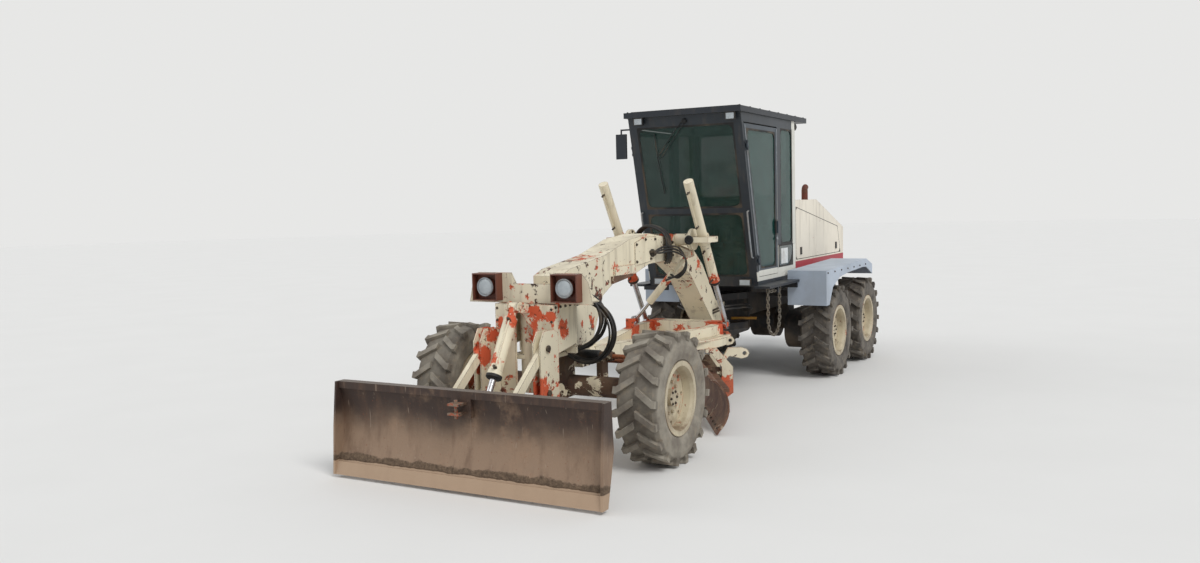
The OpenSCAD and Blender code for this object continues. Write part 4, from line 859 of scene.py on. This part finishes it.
# %% [markdown]
# ## Where the bolts are
# Rows of bolts hold the wear edges of the long blade, the saddle on the arch, the caps
# of the hubs, the cup of the drawbar and much more. The long blade stands turned by 60
# degrees, so a small function turns its own coordinates into the machine's.

# %% rows of bolts
def span(a, b, n):
    return [a + (b - a) * i / (n - 1) for i in range(n)]
def ring(x, y, z, r, n, normal="x"):
    """n places on a circle round an axis across (x) or along (y) the machine."""
    out = []
    for i in range(n):
        c, s = math.cos(2 * math.pi * i / n) * r, math.sin(2 * math.pi * i / n) * r
        out.append(at(x, y + c, z + s) if normal == "x" else at(x + c, y, z + s))
    return out
TURN = math.radians(-60)
COS, SIN = math.cos(TURN), math.sin(TURN)
def on_circle(x, y, z):
    return at(x * COS - y * SIN, CIRCLE_Y + x * SIN + y * COS, z)
def circle_way(x, y, z):
    return (x * COS - y * SIN, x * SIN + y * COS, z)
for where, y, turn, size in (("back", 45 + 232, 1, 0.024), ("front", 45 + 216, -1, 0.022)):
    bolts("bolts_blade_edge_" + where, [on_circle(x, y, 62) for x in span(-1740, 1740, 22)],
          circle_way(0, turn * 0.823, -turn * 0.568), size, "moldboard")
ARCH_BOLTS = ((1360, 1700), (1360, 1880), (1570, 1925), (1800, 1920), (1850, 1790), (1690, 1715))
for s, side in SIDES:
    cases = [p for axle in ("mid", "rear") for p in ring(s * 800.5, AXLES[axle], AXLE_Z, 205, 12)]
    for what, spots, way, size, body in (
        ("saddle", [at(s * 190.5, y, z) for y in (2165, 2415) for z in (1730, 1800, 1870)],
         (s, 0, 0), 0.030, "front"),
        ("arch_plate", [at(s * 158.5, y, z) for y, z in ARCH_BOLTS], (s, 0, 0), 0.024, "front"),
        ("gimbal", ring(s * 364.5, 2290, 1895, 95, 8), (-s, 0, 0), 0.024, "front"),
        ("nose", [at(s * 285, -555.5, z) for z in span(640, 1400, 8)], (0, -1, 0), 0.018, "front"),
        ("nose_side", [at(s * 305.5, y, 1415) for y in span(-520, -190, 5)], (s, 0, 0), 0.020, "front"),
        ("fender", [at(s * 1265.5, y, 1380) for y in span(4480, 6340, 7)], (s, 0, 0), 0.018, "rear"),
        ("case", cases, (s, 0, 0), 0.022, "rear"),
        ("hood", [at(s * 590.5, y, 1178) for y in span(4960, 7560, 11)], (s, 0, 0), 0.014, "rear")):
        bolts(f"bolts_{what}_{side}", spots, way, size, body)
for where, y in AXLES.items():
    for s, side in SIDES:
        bolts(f"cap_bolts_{where}_{side}", ring(s * (1075 + 109.2), y, AXLE_Z, 58, 6), (s, 0, 0),
              0.020, f"wheel_{where}_{side}")
DECK_BOLTS = ((-200, 1560), (200, 1560), (-430, 2180), (430, 2180), (-560, 2760), (560, 2760))
bolts("bolts_ball_cup", ring(0, 433.5, 860, 68, 8, "y"), (0, -1, 0), 0.022, "drawbar")
bolts("bolts_deck", [at(x, y, 786) for x, y in DECK_BOLTS], (0, 0, 1), 0.030, "drawbar")
bolts("bolts_roof", [at(x, y, 3391) for x in (-715, 715) for y in span(2920, 5260, 8)], (0, 0, 1),
      0.022, "rear", "seal")

# %% [markdown]
# ## Teeth of the circle
# The circle is turned by a pinion that meshes with teeth on its inner side. The same
# kind of tree sets one tapered tooth at each point of a ring and turns it to the ring's
# middle. The angle comes from the point's own position.

# %% circle teeth
TOOTH_COUNT, TOOTH_RING, TOOTH_LENGTH, TOOTH_Z = 88, 0.493, 0.03, 722
def tooth(new, link, inputs):
    cone = new("GeometryNodeMeshCone")
    cone.inputs["Vertices"].default_value = 4
    cone.inputs["Radius Top"].default_value = 0.007
    cone.inputs["Radius Bottom"].default_value = 0.013
    link(inputs["Length"], cone.inputs["Depth"])
    shape = cone.outputs["Mesh"]
    for key, value in (("Rotation", (0, 0, math.pi / 4)), ("Scale", (1, 3.7, 1)),
                       ("Rotation", (math.pi / 2, 0, -math.pi / 2))):
        step = new("GeometryNodeTransform")
        step.inputs[key].default_value = value
        link(shape, step.inputs["Geometry"])
        shape = step.outputs[0]
    where, parts = new("GeometryNodeInputPosition"), new("ShaderNodeSeparateXYZ")
    angle, euler = new("ShaderNodeMath"), new("ShaderNodeCombineXYZ")
    angle.operation = "ARCTAN2"
    link(where.outputs[0], parts.inputs[0])
    link(parts.outputs["Y"], angle.inputs[0])
    link(parts.outputs["X"], angle.inputs[1])
    link(angle.outputs[0], euler.inputs["Z"])
    turn = new("FunctionNodeEulerToRotation")
    link(euler.outputs[0], turn.inputs[0])
    return shape, turn.outputs[0], None
TEETH, TOOTH_KEY = copier("ring teeth", (("Length", "Float"), ("Finish", "Material")), tooth)
turns = [2 * math.pi * i / TOOTH_COUNT for i in range(TOOTH_COUNT)]
base = bpy.data.meshes.new("teeth")
base.from_pydata([(TOOTH_RING * math.cos(t), TOOTH_RING * math.sin(t), 0) for t in turns], [], [])
inputs = {TOOTH_KEY["Length"]: TOOTH_LENGTH, TOOTH_KEY["Finish"]: finishes["moldboard"]}
teeth = grown("circle_teeth", base, TEETH, inputs, "moldboard", None)
teeth.data.transform(Matrix.Translation(at(0, CIRCLE_Y, TOOTH_Z)))
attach(teeth, "circle")
print("teeth", TOOTH_COUNT, "faces", len(teeth.data.polygons))

# %% [markdown]
# ## Hoses and pipes
# Hydraulic hoses run over the arch, loop out above the front axle, go down to the side
# shift cylinder and cross the articulation joint. A hose between two bodies is attached
# to neither of them and stays where it is drawn. Steel pipes lie along the cylinders and
# end in hexagonal fittings.

# %% hoses
def fitting(name, foot, way, body, r=0.017):
    profile = [(0, 0), (0, r), (0.022, r), (0.022, r * 0.78), (0.05, r * 0.78), (0.05, 0)]
    return turned(name, foot, way, profile, "bolt", body, 6)
SHIFT_LINE = [(158, 1717, 1775), (202, 1850, 1797), (236, 2010, 1808), (284, 2150, 1778),
              (347, 2190, 1676), (324, 2204, 1566), (232, 2216, 1490), (128, 2247, 1508)]
for k in range(3):
    pts = [at(x + 7 * k, y - 10 * k - (0 if i in (0, 7) else 14 * k),
              z + (1 - k) * 26 * (1 if i < 4 else -0.6)) for i, (x, y, z) in enumerate(SHIFT_LINE)]
    pts[0] = at(158, 1717 - 24 * k, 1775 + 12 * (k - 1))
    pts[-1] = at(128 - 30 * k, 2249, 1508 - 34 * k)
    hose = tube(f"shift_hose_{k}", pts, 0.0105, "rubber", None, 12, 10)
    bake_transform(hose)
    fitting(f"shift_fitting_{k}", pts[0], (1, 0.25, 0.1), "front")
OVER_ARCH = [(-164, 1860), (-172, 1960), (-120, 2024), (-44, 2054), (78, 2024), (178, 1950),
             (204, 1800), (200, 1700), (168, 1640)]
for k in range(5):
    odd = k % 2
    tube(f"arch_hose_{k}", [at(x + (4 if odd else -2), 2124 - 26 * k - (10 if 1 < i < 7 else 0),
         z + 9 * odd) for i, (x, z) in enumerate(OVER_ARCH)], 0.0128, "rubber", "front", 12, 8)
for s, side in SIDES:
    strap = ((800, 1516), (1235, 1566), (1235, 1588), (800, 1588))
    plate("strap_plate_" + side, [at(s * 151, y, z) for y, z in strap], (s * 0.026, 0, 0),
          "moldboard", "front")
turned("arch_fitting", at(158.5, 1717, 1775), (1, 0, 0),
       [(0, 0), (0, 0.042), (0.018, 0.042), (0.024, 0.030), (0.040, 0.028), (0.040, 0)],
       "seal", "front")
FRONT_LOOPS = ((-124, 532, 1492, 935), (-92, 508, 1478, 950), (-4, 520, 1484, 960),
               (30, 496, 1474, 972), (60, 450, 1440, 940))
for k, (y, reach, top, low) in enumerate(FRONT_LOOPS):
    loop = [(151, 1410 - 6 * k), (262, top), (reach - 120, top - 18), (reach - 24, 1372),
            (reach, 1240), (reach - 56, 1110), (330, 1016), (196, low + 22), (146, low)]
    tube(f"front_hose_{k}", [at(x, y + (6 if 0 < i < 8 else 0), z) for i, (x, z) in enumerate(loop)],
         0.0125, "rubber", "front")
for s, side in SIDES:
    for k in range(2):
        d = 34 * k
        line = [(151, 3392, 985), (232, 3420, 1020), (352 + d, 3570, 1040), (402 + d, 3790, 1030),
                (396 + d, 3990, 1000), (330, 4110, 962), (282 - d, 4149, 950)]
        hose = tube(f"joint_hose_{side}_{k}", [at(s * x, y, z - d) for x, y, z in line],
                    0.013, "rubber", None, 12, 8)
        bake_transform(hose)

# %% pipes and cylinder details
def unit(a, b):
    return (Vector(b) - Vector(a)).normalized()
def beside(x, start, way):
    """Places along a cylinder in the (y, z) plane: d along it, off ahead of it, dx aside."""
    def place(d, off, dx=0):
        return at(x + dx, start[0] + way[0] * d + way[1] * off, start[1] + way[1] * d - way[0] * off)
    return place
LIFT_TOP, RAM_TOP = (2290, 1895), (-705, 1430)
LIFT, RAM = unit(LIFT_TOP, (2910, 885)), unit(RAM_TOP, (-1320, 412))
LIFT_GLAND = [(0, 0.0615), (0, 0.066), (0.022, 0.066), (0.030, 0.060), (0.040, 0.050),
              (0.040, 0.0315), (0.030, 0.0315), (0.0, 0.0315)]
GIMBAL_CAP = [(0, 0), (0, 0.050), (0.012, 0.052), (0.020, 0.044), (0.020, 0.030), (0.012, 0.026),
              (0.012, 0)]
UPPER_PIPE = ((-660, 52), (-640, 70), (-560, 72), (-300, 72), (-215, 72), (-190, 55))
LOWER_PIPE = ((110, 54), (135, 72), (300, 72), (490, 72), (520, 54))
for s, side in SIDES:
    body = "lift_barrel_" + side
    lift = beside(s * 515, LIFT_TOP, LIFT)
    tube("lift_pipe_" + side, [lift(*p) for p in UPPER_PIPE], 0.007, "lift", body, 8, 6)
    tube("lift_pipe_low_" + side, [lift(*p) for p in LOWER_PIPE], 0.007, "lift", body, 8, 6)
    for d in (-640, -205, 120, 510):
        fitting(f"lift_port_{side}_{d}", lift(d, 50), (0, LIFT[1], -LIFT[0]), body, 0.015)
    turned("lift_gland_" + side, lift(560, 0), (0, LIFT[0], LIFT[1]), LIFT_GLAND, "seal", body, 40)
    turned("gimbal_cap_" + side, at(s * 404.5, 2150, 1895), (0, -1, 0), GIMBAL_CAP, "seal", "front", 32)
ram = beside(0, RAM_TOP, RAM)
RAM_PIPE = ((150, 56, 30), (172, 72, 38), (380, 74, 38), (560, 72, 38), (590, 56, 30))
tube("dozer_pipe", [ram(*p) for p in RAM_PIPE], 0.008, "lift", "dozer_barrel", 8, 6)
for d in (150, 590):
    fitting(f"dozer_port_{d}", ram(d, 50, 26), (0.25, RAM[1], -RAM[0]), "dozer_barrel", 0.017)
turned("dozer_gland", ram(640, 0), (0, RAM[0], RAM[1]),
       [(0, 0.0665), (0, 0.070), (0.024, 0.070), (0.034, 0.058), (0.034, 0.0295), (0, 0.0295)],
       "seal", "dozer_barrel", 40)
ribs = [(0.0, 0.0425)]
for i in range(28):
    ribs += [(0.004 + 0.013 * i, 0.046), (0.008 + 0.013 * i, 0.052), (0.012 + 0.013 * i, 0.046)]
turned("steering_sleeve", at(15, 130, 905), (1, 0, 0), ribs + [(0.372, 0.0425)], "rubber", "front", 28)
PIN_CAP = [(0, 0), (0, 0.030), (0.010, 0.030), (0.014, 0.024), (0.014, 0)]
for y, z, x0, body in ((-735, 1085, 354, "front"), (-735, 700, 354, "front"),
                       (-1375, 575, 358, "dozer_blade"), (-1375, 190, 358, "dozer_blade")):
    for s, side in SIDES:
        turned(f"pin_cap_{side}_{-y}_{z}", at(s * (x0 + 0.5), y, z), (s, 0, 0), PIN_CAP, "bolt", body, 24)
print("cylinder pipes and caps done")

# %% [markdown]
# ## Chain on its hook, amber bar, exhaust, mirror and tail lamps
# Small pieces that the eye notices from one side or another. The two runs of chain hang
# from a rod under the running board, with more links wrapped between them.

# %% small pieces
def chain_link(name, centre, along, flat_up, body, reach=0.014, width=0.013, points=16):
    along, up = Vector(along).normalized(), Vector(flat_up).normalized()
    pts = []
    for k in range(points):
        t = 2 * math.pi * k / points
        pts.append(Vector(centre) + along * (reach * math.cos(t) + (reach if math.cos(t) > 0 else -reach))
                   + up * width * math.sin(t))
    return tube(name, pts, 0.0055, "chain", body, 8, 2, closed=True)
for i, y in enumerate(span(3420, 3770, 9)):
    centre = at(860 + 7 * math.sin(i * 1.7), y, 1232 + 9 * math.sin(i * 2.3))
    chain_link(f"hook_link_{i}", centre, (0.15 * math.sin(i), 1, 0.3 * math.cos(i * 1.3)),
               (1, 0, 0.2) if i % 2 else (0, 0.1, 1), "rear")
tube("chain_rod", [at(840, 3595, 1275), at(842, 3597, 1250), at(858, 3595, 1216),
                   at(880, 3592, 1222), at(886, 3590, 1240)], 0.009, "chain", "rear", 10)
plate("amber_bar", [at(x, 4118, z) for x, z in ((100, 796), (441, 806), (441, 838), (100, 828))],
      (0, 0.018, 0), "amber", "rear")
for x in (150, 300):
    plate(f"amber_clip_{x}", front_quad(4134, x - 14, x + 14, 800, 830), (0, 0.0165, 0), "frame", "rear")
tube("exhaust_tip", [at(440, y, z) for y, z in ((6180, 2448), (6182, 2462), (6196, 2482), (6222, 2492))],
     0.043, "exhaust", "rear", 24)
turned("air_cap", at(-150, 5600, 2370), (0, 0, 1),
       [(0, 0), (0, 0.118), (0.012, 0.124), (0.03, 0.118), (0.052, 0.09), (0.064, 0.05), (0.068, 0.0)],
       "plastic", "rear", 48)
plate("mirror_glass", front_quad(2992, -902, -778, 2858, 3142), (0, 0.003, 0), "rod", "rear")
seal("mirror_rim", front_quad(2993, -908, -772, 2852, 3148), 0.012, 0.02, (0, 0.006, 0), "rear")
turned("rear_lamp_left", at(660, 4872, 3262), (0, 1, 0),
       [(0, 0), (0, 0.03), (0.05, 0.05), (0.06, 0.058), (0.11, 0.058), (0.11, 0.052), (0.1, 0.048),
        (0.1, 0)], "plastic", "rear", 32)
LAMP_Y = AXLES["rear"] + 220
for s, side in SIDES:
    plate("tail_lamp_body_" + side, front_quad(LAMP_Y + 0.5, s * 1110, s * 1220, 1236, 1336),
          (0, 0.024, 0), "plastic", "rear")
    plate("tail_lamp_" + side, front_quad(LAMP_Y + 24, s * 1118, s * 1212, 1244, 1328),
          (0, 0.012, 0), "red_lens", "rear")
    x, hood_door = s * 591, ((5300, 1500), (7480, 1500), (7330, 1900), (5300, 2215))
    seal("hood_door_" + side, [at(x, y, z) for y, z in hood_door], 0.006, 0.06, (-s * 0.002, 0, 0), "rear")
    tube("hood_seam_" + side, [at(x, 5220, 1480), at(x, 5220, 2180)], 0.003, "seal", "rear", 6)
    for y in (5480, 7200):
        plate(f"hood_latch_{side}_{y}", side_quad(s * 590, y, y + 60, 1560, 1660), (s * 0.012, 0, 0),
              "plastic", "rear")
print("small pieces done")

# %% [markdown]
# ## The seat
# Cushion and backrest are padded, so each starts as a slightly small block, gets an
# even voxel skin, and is blown up by a cloth simulation under pressure for twenty
# frames. How far a point may move is capped, the result is kept as a plain mesh, and a
# seam runs round the middle. Under it stands a suspension bellows. Levers with round
# knobs stand on both sides of the console.

# %% seat
def solid_of(ob):
    return bpy.data.meshes.new_from_object(ob.evaluated_get(bpy.context.evaluated_depsgraph_get()))
def cushion(name, centre, size, lean, soft=0.035, cap=0.022, frames=20):
    bm = bmesh.new()
    bmesh.ops.create_cube(bm, size=1.0)
    bmesh.ops.scale(bm, vec=size, verts=bm.verts)
    bmesh.ops.bevel(bm, geom=bm.edges[:], offset=soft, segments=4, profile=0.6, affect="EDGES")
    mesh = bpy.data.meshes.new(name)
    bm.to_mesh(mesh)
    bm.free()
    ob = placed(name, mesh)
    mod = ob.modifiers.new("skin", "REMESH")
    mod.mode, mod.voxel_size = "VOXEL", 0.013
    ob.data = solid_of(ob)
    ob.modifiers.clear()
    start = [v.co.copy() for v in ob.data.vertices]
    mod = ob.modifiers.new("swell", "CLOTH")
    mod.settings.use_pressure = True
    mod.settings.uniform_pressure_force = 4.0
    mod.settings.effector_weights.gravity = 0.0
    for f in range(1, frames + 1):
        bpy.context.scene.frame_set(f)
    blown = solid_of(ob)
    ob.modifiers.clear()
    for v, w in zip(ob.data.vertices, blown.vertices):
        move = w.co - start[v.index]
        v.co = start[v.index] + move * min(1.0, cap / max(move.length, 1e-9))
    bpy.context.scene.frame_set(1)
    mod = ob.modifiers.new("fine", "SUBSURF")
    mod.levels = mod.render_levels = 1
    ob.data = solid_of(ob)
    ob.modifiers.clear()
    ob.data.transform(Matrix.Translation(centre) @ Matrix.Rotation(lean, 4, "X"))
    ob.data.materials.clear()
    ob.data.materials.append(finishes["seat"])
    ob.data.shade_smooth()
    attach(ob, "rear")
    return ob
for name, centre, size, lean, cut in (
    ("seat_cushion", at(0, 4230, 1700), (0.43, 0.45, 0.085), math.radians(3), "xy"),
    ("seat_back", at(0, 4484, 2050), (0.41, 0.060, 0.58), math.radians(-9), "xz")):
    pad = cushion(name, centre, size, lean)
    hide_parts("seat")
    w, h = size[0] / 2 + 0.012, (size[1] if cut == "xy" else size[2]) / 2 + 0.012
    turn_it = Matrix.Translation(centre) @ Matrix.Rotation(lean, 4, "X")
    flat = rounded([(-w, -h, 0), (w, -h, 0), (w, h, 0), (-w, h, 0)], 0.0, 0.07)
    seam = [Vector((p.x, p.y, 0)) if cut == "xy" else Vector((p.x, 0, p.y)) for p in flat]
    tube(name + "_seam", [turn_it @ p for p in seam], 0.005, "seal", "rear", 6, 2, closed=True)
bellow = [(0.0, 0.0), (0.0, 0.19), (0.02, 0.19)]
for i in range(9):
    bellow += [(0.03 + 0.028 * i, 0.150), (0.044 + 0.028 * i, 0.168)]
turned("seat_bellows", at(0, 4230, 1326), (0, 0, 1),
       bellow + [(0.29, 0.15), (0.29, 0.20), (0.318, 0.20), (0.318, 0.0)], "rubber", "rear", 40)
KNOB = [(0, 0), (0.004, 0.012), (0.016, 0.02), (0.03, 0.017), (0.038, 0.0)]
for s, side in reversed(SIDES):
    for i, x in enumerate((225, 262, 299)):
        y = 3690 - 6 * i
        tube(f"lever_{side}_{i}", [at(s * x, y, 1796), at(s * x, y - 12, 1880), at(s * x, y - 4, 1965)],
             0.006, "handle", "rear", 8)
        turned(f"knob_{side}_{i}", at(s * x, y - 4, 1958), (0, 0, 1), KNOB, "plastic", "rear", 16)
